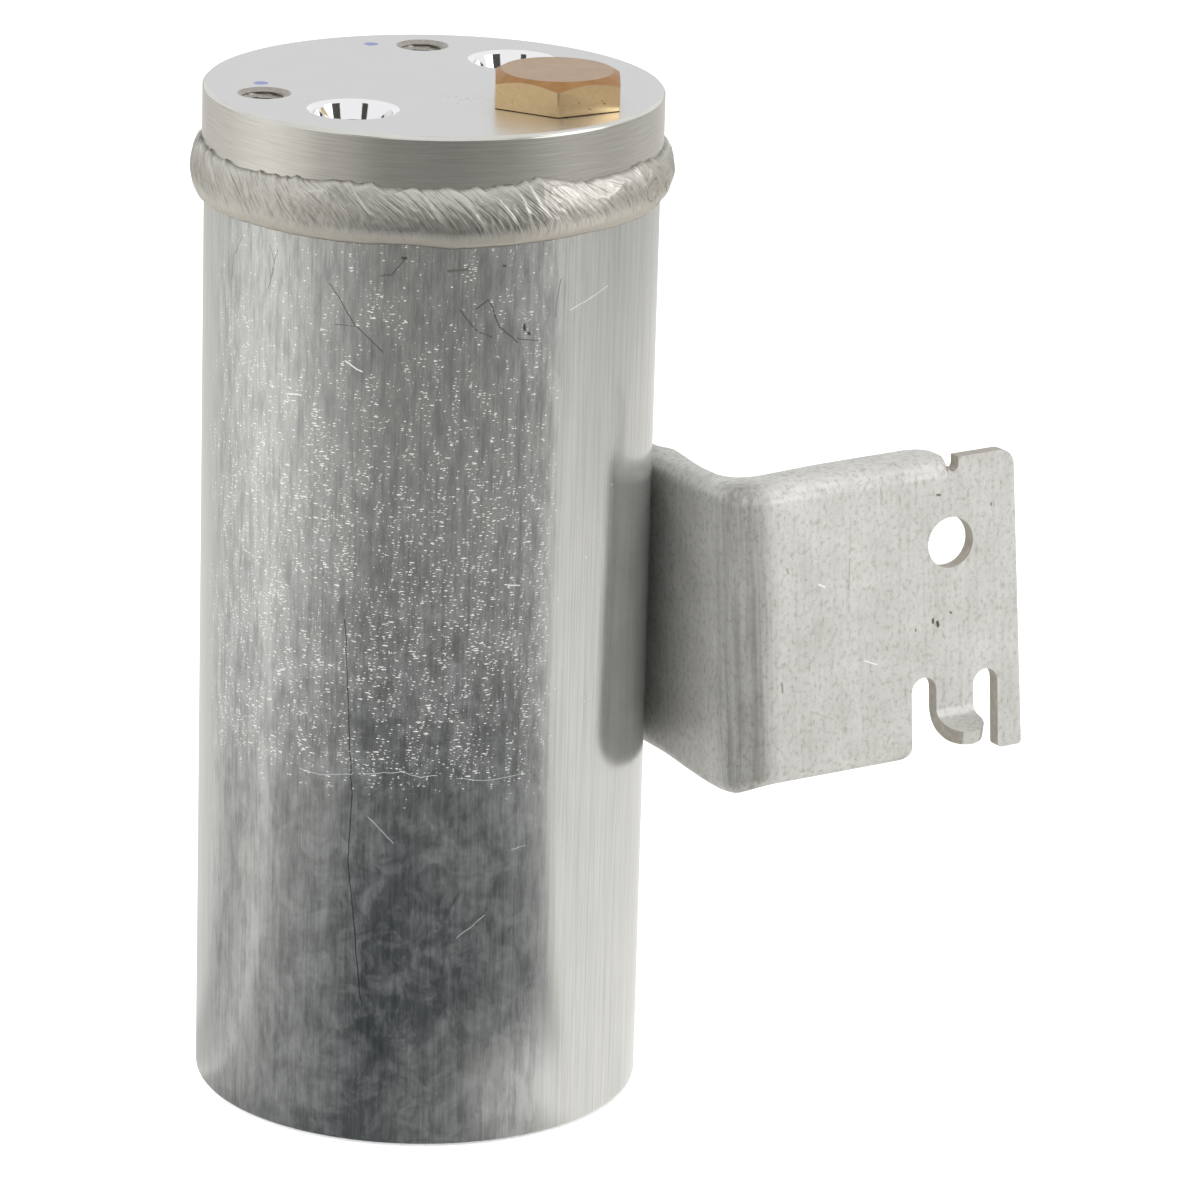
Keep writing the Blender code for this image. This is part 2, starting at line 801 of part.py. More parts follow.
# The bead up the foot's end, in the corner between the can and the sheet's end face.
def make_end_bead(material):
    radius = foot_bead_radius
    station = -foot_arc_length - radius - rest_gap
    low = bracket_lower_edge + flange_bend_radius + foot_bead_margin
    high = bracket_upper_edge - flange_bend_radius - foot_bead_margin
    rings = []
    for height in spread(low, high, foot_bead_stations):
        size = bead_radius_at(height - low, min(height - low, high - height))
        points = arc_points((station, radius), size, 0, 360, foot_bead_facets)[:-1]
        rings.append([bracket_point(along, depth, height) for along, depth in points])
    bead = new_object("bracket_weld_end", skin_rings(rings), material, 60.0)
    bead.matrix_world = bracket_matrix()
    return bead


# Heights of the filter stack, from the can's bottom up.
stand_low = can_bottom_thickness + rest_gap
lower_plate_low = stand_low + plate_stand_height + rest_gap
lower_pad_low = lower_plate_low + perforated_thickness + rest_gap
desiccant_low = lower_pad_low + lower_pad_thickness + rest_gap
upper_pad_low = desiccant_low + desiccant_height + rest_gap
upper_plate_low = upper_pad_low + upper_pad_thickness + rest_gap
spring_seat_low = upper_plate_low + perforated_thickness + rest_gap
spring_low = spring_seat_low + spring_seat_thickness + rest_gap
spring_high = spigot_bottom_height - rest_gap
tube_passage_radius = tube_diameter / 2 + rest_gap


def make_disc(name, low, thickness, material):
    high = low + thickness
    profile = [(0.0, low), (stack_radius, low), (stack_radius, high), (0.0, high)]
    disc = new_object(name, revolve(profile, stack_facets), material)
    tool_low = low - cut_margin
    tool_high = high + cut_margin
    passage = (tube_passage_radius, tool_low, tool_high)
    cut(disc, drill(name + "_tube_tool", *passage, outlet_centre, tube_facets))
    return disc


# All perforations of a plate are cut by one tool object of separate pins.
def make_perforated_plate(name, low, material):
    plate = make_disc(name, low, perforated_thickness, material)
    clear = tube_passage_radius + perforation_diameter
    pins = bmesh.new()
    for ring_radius, count in zip(perforation_ring_radii, perforation_ring_counts):
        for i in range(count):
            angle = math.tau * i / count
            centre = Vector((ring_radius * math.cos(angle), ring_radius * math.sin(angle)))
            if (centre - Vector(outlet_centre)).length < clear:
                continue
            bmesh.ops.create_cone(
                pins,
                cap_ends=True,
                segments=perforation_facets,
                radius1=perforation_diameter / 2,
                radius2=perforation_diameter / 2,
                depth=perforated_thickness + 2 * cut_margin,
                matrix=Matrix.Translation((*centre, low + perforated_thickness / 2)),
            )
    cut(plate, new_object(name + "_pins_tool", pins, None))
    return plate


def make_plate_stand(material):
    top = stand_low + plate_stand_height
    inner = stack_radius - plate_stand_wall
    foot = stack_radius - can_inner_corner_radius
    profile = [
        (inner - plate_stand_lip, stand_low),
        (foot, stand_low),
        (stack_radius, stand_low + can_inner_corner_radius),
        (stack_radius, top),
        (stack_radius - plate_stand_ledge, top),
        (stack_radius - plate_stand_ledge, top - plate_stand_wall),
        (inner, top - plate_stand_wall),
        (inner, stand_low + can_inner_corner_radius),
    ]
    return new_object("plate_stand", revolve(profile, stack_facets), material)


def make_pickup_tube(material):
    outer = tube_diameter / 2
    inner = outer - tube_wall
    high = spigot_bottom_height + tube_socket_depth - rest_gap
    low = stand_low + strainer_height - strainer_tube_overlap
    profile = [(inner, low), (outer, low), (outer, high), (inner, high)]
    return new_object("pickup_tube", revolve(profile, tube_facets, outlet_centre), material)


# A cup pushed over the tube's lower end, with a row of windows in its wall.
def make_strainer(material):
    inner = tube_diameter / 2 + rest_gap
    outer = inner + strainer_wall
    high = stand_low + strainer_height
    floor = stand_low + strainer_wall
    profile = [
        (0.0, stand_low),
        (outer, stand_low),
        (outer, high),
        (inner, high),
        (inner, floor),
        (0.0, floor),
    ]
    strainer = new_object("tube_strainer", revolve(profile, tube_facets, outlet_centre), material)
    windows = bmesh.new()
    for i in range(strainer_window_count):
        angle = math.tau * i / strainer_window_count
        turn = Matrix.Rotation(angle, 4, "Z") @ Matrix.Rotation(math.pi / 2, 4, "Y")
        reach = (inner + outer) / 2
        place = Vector((math.cos(angle) * reach, math.sin(angle) * reach, floor + strainer_window_diameter))
        place += Vector((*outlet_centre, 0.0))
        bmesh.ops.create_cone(
            windows,
            cap_ends=True,
            segments=perforation_facets,
            radius1=strainer_window_diameter / 2,
            radius2=strainer_window_diameter / 2,
            depth=strainer_wall + rest_gap,
            matrix=Matrix.Translation(place) @ turn,
        )
    cut(strainer, new_object("strainer_window_tool", windows, None))
    return strainer


def make_spring_seat(material):
    outer = spring_mean_diameter / 2 + spring_seat_margin
    inner = spring_mean_diameter / 2 - spring_seat_margin
    high = spring_seat_low + spring_seat_thickness
    profile = [(inner, spring_seat_low), (outer, spring_seat_low), (outer, high), (inner, high)]
    return new_object("spring_seat", revolve(profile, stack_facets), material)


# A helix whose first and last turns are closed up, with the stroke in the turns between.
def make_spring(material):
    wire = spring_wire_diameter / 2
    low = spring_low + wire
    high = spring_high - wire
    open_turns = spring_turns - 2.0
    open_pitch = (high - low - 2 * spring_closed_pitch) / open_turns
    rings = []
    for turns in spread(0.0, spring_turns, int(spring_turns * spring_facets)):
        opened = min(max(turns - 1.0, 0.0), open_turns)
        height = low + opened * open_pitch + (turns - opened) * spring_closed_pitch
        angle = math.tau * turns
        points = arc_points((spring_mean_diameter / 2, height), wire, 0, 360, 6)[:-1]
        rings.append([(r * math.cos(angle), r * math.sin(angle), z) for r, z in points])
    return new_object("spring", skin_rings(rings), material, 60.0)


clear_scene()

drawn_aluminium = new_material("Drawn aluminium", (0.60, 0.61, 0.60), 0.32, 1.0)
turned_aluminium = new_material("Turned aluminium", (0.66, 0.67, 0.68), 0.25, 1.0)
weld_aluminium = new_material("Aluminium weld", (0.58, 0.58, 0.56), 0.40, 1.0)
sheet_aluminium = new_material("Sheet aluminium", (0.68, 0.69, 0.68), 0.38, 1.0)
brass = new_material("Brass", (0.72, 0.50, 0.24), 0.28, 1.0)
nitrile = new_material("Nitrile rubber", (0.02, 0.02, 0.02), 0.60, 0.0)
felt = new_material("Filter felt", (0.75, 0.72, 0.64), 0.95, 0.0)
sieve = new_material("Molecular sieve", (0.62, 0.52, 0.38), 0.90, 0.0)
steel = new_material("Zinc-plated steel", (0.55, 0.56, 0.58), 0.35, 1.0)

make_can(drawn_aluminium)
make_head(turned_aluminium)
make_head_weld(weld_aluminium)
make_plug(brass)
make_plug_seal(nitrile)
make_bracket(sheet_aluminium)
make_edge_bead("bracket_weld_upper", weld_aluminium, 1)
make_edge_bead("bracket_weld_lower", weld_aluminium, -1)
make_end_bead(weld_aluminium)
make_plate_stand(steel)
make_perforated_plate("lower_plate", lower_plate_low, steel)
make_disc("lower_pad", lower_pad_low, lower_pad_thickness, felt)
make_disc("desiccant_bed", desiccant_low, desiccant_height, sieve)
make_disc("upper_pad", upper_pad_low, upper_pad_thickness, felt)
make_perforated_plate("upper_plate", upper_plate_low, steel)
make_spring_seat(steel)
make_spring(steel)
make_pickup_tube(drawn_aluminium)
make_strainer(steel)
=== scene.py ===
import math

import bmesh
import bpy
from mathutils import Matrix, Vector, noise


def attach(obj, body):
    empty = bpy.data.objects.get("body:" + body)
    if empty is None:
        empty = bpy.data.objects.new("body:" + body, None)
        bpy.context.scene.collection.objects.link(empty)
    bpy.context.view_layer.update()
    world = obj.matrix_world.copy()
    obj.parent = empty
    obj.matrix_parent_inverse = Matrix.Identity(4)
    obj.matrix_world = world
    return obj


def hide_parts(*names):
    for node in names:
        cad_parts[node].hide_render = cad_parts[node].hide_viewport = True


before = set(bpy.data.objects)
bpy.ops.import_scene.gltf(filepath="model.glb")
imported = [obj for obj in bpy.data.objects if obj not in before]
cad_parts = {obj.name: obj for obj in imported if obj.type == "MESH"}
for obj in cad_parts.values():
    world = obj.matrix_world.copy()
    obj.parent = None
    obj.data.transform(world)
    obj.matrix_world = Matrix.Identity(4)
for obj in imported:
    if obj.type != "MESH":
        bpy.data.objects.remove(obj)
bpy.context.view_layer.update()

# A filter drier: a drawn aluminium can with a turned head welded in, a plug and a bracket.
# Lengths in the dictionaries are millimetres and angles are degrees, unless said otherwise.
mm = 0.001
print("Frame loaded")


def linear(hexColour):
    channels = [int(hexColour[i : i + 2], 16) / 255 for i in (1, 3, 5)]
    return [c / 12.92 if c <= 0.04045 else ((c + 0.055) / 1.055) ** 2.4 for c in channels] + [1.0]


def newMaterial(name, colour, metallic, roughness):
    material = bpy.data.materials.new(name)
    material.use_nodes = True
    shader = material.node_tree.nodes["Principled BSDF"]
    shader.inputs["Base Color"].default_value = linear(colour)
    shader.inputs["Metallic"].default_value = metallic
    shader.inputs["Roughness"].default_value = roughness
    return material


# Adds a node with its settings and what is plugged into it. An input goes by its name or number.
def addNode(owner, kind, settings=(), links=()):
    node = owner.node_tree.nodes.new(kind)
    for name, value in dict(settings).items():
        if isinstance(name, str) and hasattr(node, name):
            setattr(node, name, value)
        else:
            node.inputs[name].default_value = value
    for name, socket in dict(links).items():
        owner.node_tree.links.new(socket, node.inputs[name])
    return node.outputs[2] if kind == "ShaderNodeMix" and node.data_type == "RGBA" else node.outputs[0]


def plug(material, **sockets):
    shader = material.node_tree.nodes["Principled BSDF"]
    for name, socket in sockets.items():
        material.node_tree.links.new(socket, shader.inputs[name.replace("_", " ")])


def arc(centre, radius, start, end, count):
    angles = [math.radians(start + (end - start) * i / count) for i in range(count + 1)]
    return [(centre[0] + radius * math.cos(a), centre[1] + radius * math.sin(a)) for a in angles]


def spread(start, end, count):
    return [start + (end - start) * i / count for i in range(count + 1)]


def smoothStep(value):
    share = min(max(value, 0.0), 1.0)
    return share * share * (3.0 - 2.0 * share)


# The other columns of a table, blended smoothly between its rows, whose first column rises.
def graded(table, place):
    for before, after in zip(table, table[1:]):
        if before[0] <= place <= after[0]:
            share = smoothStep((place - before[0]) / (after[0] - before[0]))
            return [low + (high - low) * share for low, high in zip(before[1:], after[1:])]
    return table[-1][1:]


# A closed outline of (radius, height) in millimetres, spun about an upright line.
def turned(profile, steps, centre=(0.0, 0.0)):
    bm = bmesh.new()
    verts = [bm.verts.new(((centre[0] + r) * mm, centre[1] * mm, z * mm)) for r, z in profile]
    edges = []
    for i, (radius, height) in enumerate(profile):
        if radius > 0.0 or profile[i - 1][0] > 0.0:
            edges.append(bm.edges.new((verts[i - 1], verts[i])))
    place = (centre[0] * mm, centre[1] * mm, 0.0)
    bmesh.ops.spin(
        bm, geom=verts + edges, cent=place, axis=(0, 0, 1), angle=math.tau, steps=steps, use_merge=True
    )
    return bm


# A solid drawn through rings of points, by extruding the first ring's face from one to the next.
def lofted(rings):
    bm = bmesh.new()
    order = bm.verts.layers.int.new("order")
    for i, place in enumerate(rings[0]):
        bm.verts.new(place)[order] = i
    face = bm.faces.new(bm.verts)
    for i, ring in enumerate(rings[1:]):
        grown = bmesh.ops.extrude_face_region(bm, geom=[face])["geom"]
        if i > 0:
            bm.faces.remove(face)  # only the first ring's face stays, as the end
        face = next(item for item in grown if isinstance(item, bmesh.types.BMFace))
        for vert in face.verts:
            vert.co = ring[vert[order]]
    return bm


# A flat outline of (x, z) in millimetres, given a thickness along Y.
def plateFrom(outline, near, far):
    bm = bmesh.new()
    face = bm.faces.new([bm.verts.new((x * mm, near * mm, z * mm)) for x, z in outline])
    grown = bmesh.ops.extrude_face_region(bm, geom=[face])["geom"]
    moved = [item for item in grown if isinstance(item, bmesh.types.BMVert)]
    bmesh.ops.translate(bm, verts=moved, vec=(0.0, (far - near) * mm, 0.0))
    return bm


def newSolid(name, bm, *materials):
    bmesh.ops.remove_doubles(bm, verts=bm.verts, dist=0.0005 * mm)
    bmesh.ops.recalc_face_normals(bm, faces=bm.faces)
    mesh = bpy.data.meshes.new(name)
    bm.to_mesh(mesh)
    bm.free()
    for material in materials:
        mesh.materials.append(material)
    solid = bpy.data.objects.new(name, mesh)
    bpy.context.scene.collection.objects.link(solid)
    return solid


# Cuts or joins with a tool, whose faces bring their own material, and bakes the result.
def carve(piece, tool, operation="DIFFERENCE"):
    step = piece.modifiers.new(operation, "BOOLEAN")
    step.operation = operation
    step.solver = "EXACT"
    step.material_mode = "TRANSFER"
    step.object = tool
    graph = bpy.context.evaluated_depsgraph_get()
    made = bpy.data.meshes.new_from_object(piece.evaluated_get(graph), depsgraph=graph)
    piece.modifiers.clear()
    piece.data = made
    bpy.data.objects.remove(tool)


# Shading breaks at sharp angles and wherever one finish ends and another begins.
def finishPiece(piece, slot, *nodes, smoothAngle=35.0):
    piece.data.shade_smooth()
    piece.data.set_sharp_from_angle(angle=math.radians(smoothAngle))
    bm = bmesh.new()
    bm.from_mesh(piece.data)
    for edge in bm.edges:
        if len({face.material_index for face in edge.link_faces}) > 1:
            edge.smooth = False
    bm.to_mesh(piece.data)
    bm.free()
    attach(piece, "root")
    if nodes:
        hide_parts(*nodes)
    print("Made", piece.name, len(piece.data.polygons), "faces")


camera = {
    "focalPixels": 6324.0,  # for a picture 1200 pixels wide
    "pictureWidth": 1200.0,
    "place": (0.0, -809.7, 321.4),
    "turnRight": 1.671,
    "lookDown": 17.423,
    "roll": 1.654,
}


def placeCamera():
    yaw, pitch, roll = [math.radians(camera[key]) for key in ("turnRight", "lookDown", "roll")]
    forward = Vector((math.sin(yaw) * math.cos(pitch), math.cos(yaw) * math.cos(pitch), -math.sin(pitch)))
    level = Vector((math.cos(yaw), -math.sin(yaw), 0.0))
    upright = level.cross(forward)
    right = math.cos(roll) * level + math.sin(roll) * upright
    up = -math.sin(roll) * level + math.cos(roll) * upright
    view = bpy.data.cameras.new("photoCamera")
    view.lens = camera["focalPixels"] / camera["pictureWidth"] * view.sensor_width
    view.clip_start = 0.02
    holder = bpy.data.objects.new("photoCamera", view)
    turn = Matrix((right, up, -forward)).transposed().to_4x4()
    holder.matrix_world = Matrix.Translation(Vector(camera["place"]) * mm) @ turn
    bpy.context.scene.collection.objects.link(holder)
    bpy.context.scene.camera = holder


placeCamera()

can = {
    "radius": 30.0,
    "height": 126.7,
    "wall": 2.5,
    "bottom": 4.0,
    "edgeRadius": 1.0,
    "steps": 240,
    "rows": 40,
    "drawLine": 0.35,  # spacing of the lines left by the die
    "rub": 1.3,
    "rubLine": 52.0,
    "mottle": 9.0,
    # Handling nicks in two sizes: cell along and up, slope, and how many of the cells are nicked.
    "nicks": ((0.75, 0.24, 0.10, 0.27), (1.40, 0.32, -0.16, 0.17)),
    "wornSide": (-158.0, -57.0),  # the azimuths between which it was handled most
    "markWobble": 0.6,
    # Dark scuffs and light scratches: width, colour, and the (azimuth, height) points of each.
    "scuffs": (
        (0.11, "#7a7b77", ((-115.3, 117.3), (-112.5, 115.4), (-108.5, 112.2), (-101.3, 109.1))),
        (0.10, "#8e8f8b", ((-113.7, 112.1), (-108.5, 112.0))),
        (0.10, "#9b9c98", ((-133.5, 120.9), (-131.7, 118.4), (-134.0, 114.9), (-131.1, 120.4))),
        (0.10, "#9b9c98", ((-144.4, 120.6), (-148.0, 117.9), (-148.9, 114.5))),
        (0.10, "#9b9c98", ((-152.6, 113.0), (-151.2, 106.4))),
        (0.10, "#868783", ((-102.4, 118.9), (-99.4, 119.3), (-96.3, 121.5))),
        (0.11, "#7a7b77", ((-78.7, 114.9), (-75.5, 116.1), (-74.4, 114.8), (-72.8, 112.6), (-67.7, 110.2))),
        (0.10, "#868783", ((-67.8, 110.7), (-62.3, 110.2))),
        (0.12, "#868783", ((-82.6, 114.8), (-78.3, 112.1), (-74.5, 111.1))),
        (0.30, "#62635e", ((-66.2, 112.4), (-66.1, 111.8))),
        (0.28, "#62635e", ((-65.1, 111.3), (-64.6, 111.2))),
        (0.22, "#72736e", ((-72.1, 120.5), (-71.6, 120.4))),
        (0.22, "#72736e", ((-97.0, 121.6), (-96.0, 121.6))),
        (0.28, "#a5a6a2", ((-85.8, 120.0), (-80.9, 120.2))),
        (0.12, "#9a9b96", ((-56.2, 118.1), (-57.6, 113.2))),
        (0.10, "#5a5f62", ((-109.8, 72.7), (-107.2, 48.0), (-108.0, 40.0), (-104.2, 20.4))),
    ),
    "scratches": (
        (0.13, "#d9d9d5", ((-110.9, 107.4), (-106.5, 106.2))),
        (0.13, "#d9d9d5", ((-127.0, 101.7), (-123.0, 101.9))),
        (0.10, "#c9c9c5", ((-53.2, 113.7), (-40.2, 115.8))),
        (0.12, "#d9d9d5", ((-69.6, 77.7), (-65.6, 77.5))),
        (0.07, "#a9acac", ((-121.8, 51.3), (-116.0, 51.0), (-107.3, 51.6))),
        (0.08, "#a9acac", ((-104.0, 51.9), (-95.1, 52.6), (-90.0, 51.8), (-86.0, 52.2))),
        (0.07, "#a9acac", ((-81.0, 51.7), (-72.0, 51.2), (-64.3, 51.6))),
        (0.09, "#989c9d", ((-103.0, 46.0), (-96.5, 42.6))),
        (0.09, "#989c9d", ((-80.0, 29.5), (-73.0, 32.4))),
        (0.07, "#a9acac", ((-66.0, 41.3), (-62.5, 41.6))),
    ),
}


# How near a place is to a line through several points: 1 on it, dying out over its width.
def markMask(material, surface, points, width):
    nearest = None
    for start, end in zip(points, points[1:]):
        along = end - start
        offset = addNode(material, "ShaderNodeVectorMath", {"operation": "SUBTRACT", 1: start}, {0: surface})
        share = addNode(
            material,
            "ShaderNodeVectorMath",
            {"operation": "DOT_PRODUCT", 1: along / along.length_squared},
            {0: offset},
        ).node.outputs["Value"]
        held = addNode(material, "ShaderNodeClamp", {}, {"Value": share})
        foot = addNode(material, "ShaderNodeVectorMath", {"operation": "SCALE", 0: along}, {"Scale": held})
        away = addNode(
            material, "ShaderNodeVectorMath", {"operation": "DISTANCE"}, {0: offset, 1: foot}
        ).node.outputs["Value"]
        nearest = away if nearest is None else addNode(
            material, "ShaderNodeMath", {"operation": "MINIMUM"}, {0: nearest, 1: away}
        )
    return addNode(
        material,
        "ShaderNodeMapRange",
        {"From Min": width * mm, "From Max": width * mm / 4, "To Min": 0.0, "To Max": 1.0},
        {"Value": nearest},
    )


# The surface's own place, shaken a little, so that a mark drawn on it isn't ruler straight.
def shaken(material, surface, amount):
    shake = addNode(material, "ShaderNodeTexNoise", {"Scale": 420.0, "Detail": 3.0}, {"Vector": surface})
    centred = addNode(
        material,
        "ShaderNodeVectorMath",
        {"operation": "SUBTRACT", 1: (0.5, 0.5, 0.5)},
        {0: shake.node.outputs["Color"]},
    )
    pushed = addNode(
        material,
        "ShaderNodeVectorMath",
        {"operation": "MULTIPLY", 1: (amount * mm, amount * mm, 0.0)},
        {0: centred},
    )
    return addNode(material, "ShaderNodeVectorMath", {"operation": "ADD"}, {0: surface, 1: pushed})


def unrolled(place):
    return Vector((math.radians(place[0]) * can["radius"], place[1], 0.0)) * mm


# Short level nicks: stretched cells, of which the noise picks some and leaves the rest.
def nickMask(material, wall, crowding, along, up, slope, amount):
    cells = addNode(
        material,
        "ShaderNodeMapping",
        {"Rotation": (0, 0, slope), "Scale": (1 / (along * mm), 1 / (up * mm), 1.0)},
        {"Vector": wall},
    )
    spots = addNode(
        material, "ShaderNodeTexVoronoi", {"voronoi_dimensions": "2D", "Scale": 1.0}, {"Vector": cells}
    )
    colour = addNode(material, "ShaderNodeSeparateColor", {}, {"Color": spots.node.outputs["Color"]})
    pick = colour.node.outputs
    size = addNode(
        material, "ShaderNodeMath", {"operation": "MULTIPLY_ADD", 1: 0.26, 2: 0.1}, {0: pick["Green"]}
    )
    near = addNode(
        material,
        "ShaderNodeMapRange",
        {"From Min": 0.0, "From Max": 0.14},
        {"Value": addNode(material, "ShaderNodeMath", {"operation": "SUBTRACT"}, {0: size, 1: spots})},
    )
    likely = addNode(
        material, "ShaderNodeMath", {"operation": "MULTIPLY_ADD", 1: 3.4, 2: amount - 1.7}, {0: crowding}
    )
    chosen = addNode(material, "ShaderNodeMath", {"operation": "LESS_THAN"}, {0: pick["Red"], 1: likely})
    return addNode(material, "ShaderNodeMath", {"operation": "MULTIPLY"}, {0: near, 1: chosen})


# Aluminium tube drawn through a die: bright satin with fine upright lines, nicked by handling.
def makeCanFinish():
    material = newMaterial("Drawn aluminium", "#d9dbdb", 1.0, 0.18)
    coords = addNode(material, "ShaderNodeTexCoord").node.outputs["Object"]
    wall = addNode(material, "ShaderNodeUVMap", {"uv_map": "wall"})
    lines = addNode(
        material,
        "ShaderNodeTexNoise",
        {"Scale": 1 / (can["drawLine"] * mm), "Detail": 4.0, "Roughness": 0.65},
        {"Vector": addNode(material, "ShaderNodeMapping", {"Scale": (1, 1, 0.014)}, {"Vector": coords})},
    )
    rubs = addNode(
        material,
        "ShaderNodeTexNoise",
        {"Scale": 1 / (can["rub"] * mm), "Detail": 6.0, "Roughness": 0.7},
        {"Vector": addNode(material, "ShaderNodeMapping", {"Scale": (1, 1, 0.2)}, {"Vector": coords})},
    )
    broad = addNode(
        material,
        "ShaderNodeTexNoise",
        {"Scale": 1 / (can["mottle"] * mm), "Detail": 5.0, "Roughness": 0.6},
        {"Vector": addNode(material, "ShaderNodeMapping", {"Scale": (1, 1, 0.35)}, {"Vector": coords})},
    )
    grain = addNode(material, "ShaderNodeTexNoise", {"Scale": 1800.0, "Detail": 3.0}, {"Vector": coords})
    # Nicks crowd in upright columns, on the side that was handled, and mostly above the rub line.
    height = addNode(material, "ShaderNodeSeparateXYZ", {}, {"Vector": coords}).node.outputs["Z"]
    spared = addNode(
        material,
        "ShaderNodeMapRange",
        {"From Min": 0.09, "From Max": 0.118, "To Min": 1.0, "To Max": 0.85},
        {"Value": height},
    )
    worn = addNode(
        material,
        "ShaderNodeMapRange",
        {
            "From Min": (can["rubLine"] - 6.0) * mm,
            "From Max": can["rubLine"] * mm,
            "To Min": 0.64,
            "To Max": 1.0,
        },
        {"Value": height},
    )
    turn = addNode(material, "ShaderNodeSeparateXYZ", {}, {"Vector": wall}).node.outputs["X"]
    first, last = [math.radians(azimuth) * can["radius"] * mm for azimuth in can["wornSide"]]
    begun = addNode(
        material,
        "ShaderNodeMapRange",
        {"From Min": first - 4 * mm, "From Max": first + 4 * mm},
        {"Value": turn},
    )
    ended = addNode(
        material,
        "ShaderNodeMapRange",
        {"From Min": last + 2 * mm, "From Max": last - 1 * mm},
        {"Value": turn},
    )
    handled = addNode(material, "ShaderNodeMath", {"operation": "MULTIPLY"}, {0: begun, 1: ended})
    crowding = addNode(material, "ShaderNodeMath", {"operation": "MULTIPLY"}, {0: rubs, 1: spared})
    crowding = addNode(material, "ShaderNodeMath", {"operation": "MULTIPLY"}, {0: crowding, 1: worn})
    rare = addNode(
        material, "ShaderNodeMapRange", {"To Min": 0.72, "To Max": 1.0}, {"Value": handled}
    )
    crowding = addNode(material, "ShaderNodeMath", {"operation": "MULTIPLY"}, {0: crowding, 1: rare})
    nicks = None
    for nick in can["nicks"]:
        found = nickMask(material, wall, crowding, *nick)
        nicks = found if nicks is None else addNode(
            material, "ShaderNodeMath", {"operation": "MAXIMUM"}, {0: nicks, 1: found}
        )
    tone = addNode(
        material,
        "ShaderNodeMix",
        {"data_type": "RGBA", 6: linear("#c9cbcc"), 7: linear("#e0e0dd")},
        {0: broad},
    )
    lined = addNode(
        material,
        "ShaderNodeMix",
        {"data_type": "RGBA", "blend_type": "MULTIPLY", 7: linear("#b4b7b8")},
        {0: addNode(
            material,
            "ShaderNodeMapRange",
            {"From Min": 0.42, "From Max": 0.72, "To Min": 0.0, "To Max": 0.36},
            {"Value": lines},
        ), 6: tone},
    )
    rubbed = addNode(
        material,
        "ShaderNodeMix",
        {"data_type": "RGBA", "blend_type": "MULTIPLY", 7: linear("#a9afb2")},
        {0: addNode(material, "ShaderNodeMath", {"operation": "MULTIPLY"}, {0: addNode(
            material,
            "ShaderNodeMapRange",
            {"From Min": 0.56, "From Max": 0.36, "To Min": 0.0, "To Max": 0.5},
            {"Value": rubs},
        ), 1: handled}), 6: lined},
    )
    # Low down the handled side is dulled in cloudy patches, with fine scratches in all directions.
    cloud = addNode(
        material,
        "ShaderNodeTexNoise",
        {"Scale": 260.0, "Detail": 8.0, "Roughness": 0.72, "Distortion": 0.6},
        {"Vector": coords},
    )
    patchy = addNode(
        material,
        "ShaderNodeMapRange",
        {"From Min": 0.42, "From Max": 0.68, "To Min": 0.0, "To Max": 0.14},
        {"Value": cloud},
    )
    patchy = addNode(material, "ShaderNodeMath", {"operation": "MULTIPLY"}, {0: patchy, 1: handled})
    fading = addNode(
        material,
        "ShaderNodeMapRange",
        {"From Min": 0.1, "From Max": 0.07, "To Min": 0.0, "To Max": 1.0},
        {"Value": height},
    )
    patchy = addNode(material, "ShaderNodeMath", {"operation": "MULTIPLY"}, {0: patchy, 1: fading})
    rubbed = addNode(
        material, "ShaderNodeMix", {"data_type": "RGBA", 7: linear("#c4c9cb")}, {0: patchy, 6: rubbed}
    )
    colour = addNode(
        material,
        "ShaderNodeMix",
        {"data_type": "RGBA", 7: linear("#dcdcd7")},
        {0: nicks, 6: rubbed},
    )
    bare = addNode(material, "ShaderNodeMath", {"operation": "MULTIPLY_ADD", 1: -0.58, 2: 1.0}, {0: nicks})
    dulled = addNode(material, "ShaderNodeMath", {"operation": "MULTIPLY_ADD", 1: -0.8, 2: 1.0}, {0: patchy})
    bare = addNode(material, "ShaderNodeMath", {"operation": "MULTIPLY"}, {0: bare, 1: dulled})
    place = shaken(material, wall, can["markWobble"])
    for width, shade, points in can["scuffs"]:
        mark = markMask(material, place, [unrolled(point) for point in points], width)
        colour = addNode(
            material, "ShaderNodeMix", {"data_type": "RGBA", 7: linear(shade)}, {0: mark, 6: colour}
        )
    for width, shade, points in can["scratches"]:
        mark = markMask(material, place, [unrolled(point) for point in points], width)
        colour = addNode(
            material, "ShaderNodeMix", {"data_type": "RGBA", 7: linear(shade)}, {0: mark, 6: colour}
        )
        kept = addNode(material, "ShaderNodeMath", {"operation": "MULTIPLY_ADD", 1: -0.6, 2: 1.0}, {0: mark})
        bare = addNode(material, "ShaderNodeMath", {"operation": "MULTIPLY"}, {0: bare, 1: kept})
    roughness = addNode(
        material,
        "ShaderNodeMapRange",
        {"From Min": 0.32, "From Max": 0.66, "To Min": 0.14, "To Max": 0.22},
        {"Value": rubs},
    )
    matt = addNode(
        material,
        "ShaderNodeMapRange",
        {"From Min": 0.095, "From Max": 0.115, "To Min": 0.0, "To Max": 0.06},
        {"Value": height},
    )
    roughness = addNode(material, "ShaderNodeMath", {"operation": "ADD"}, {0: roughness, 1: matt})
    raised = addNode(
        material,
        "ShaderNodeMath",
        {"operation": "MULTIPLY_ADD", 1: -1.2},
        {0: nicks, 2: addNode(
            material, "ShaderNodeMath", {"operation": "MULTIPLY_ADD", 1: 0.6}, {0: lines, 2: grain}
        )},
    )
    relief = addNode(
        material,
        "ShaderNodeBump",
        {"Strength": 0.16, "Distance": 0.02 * mm},
        {"Height": raised},
    )
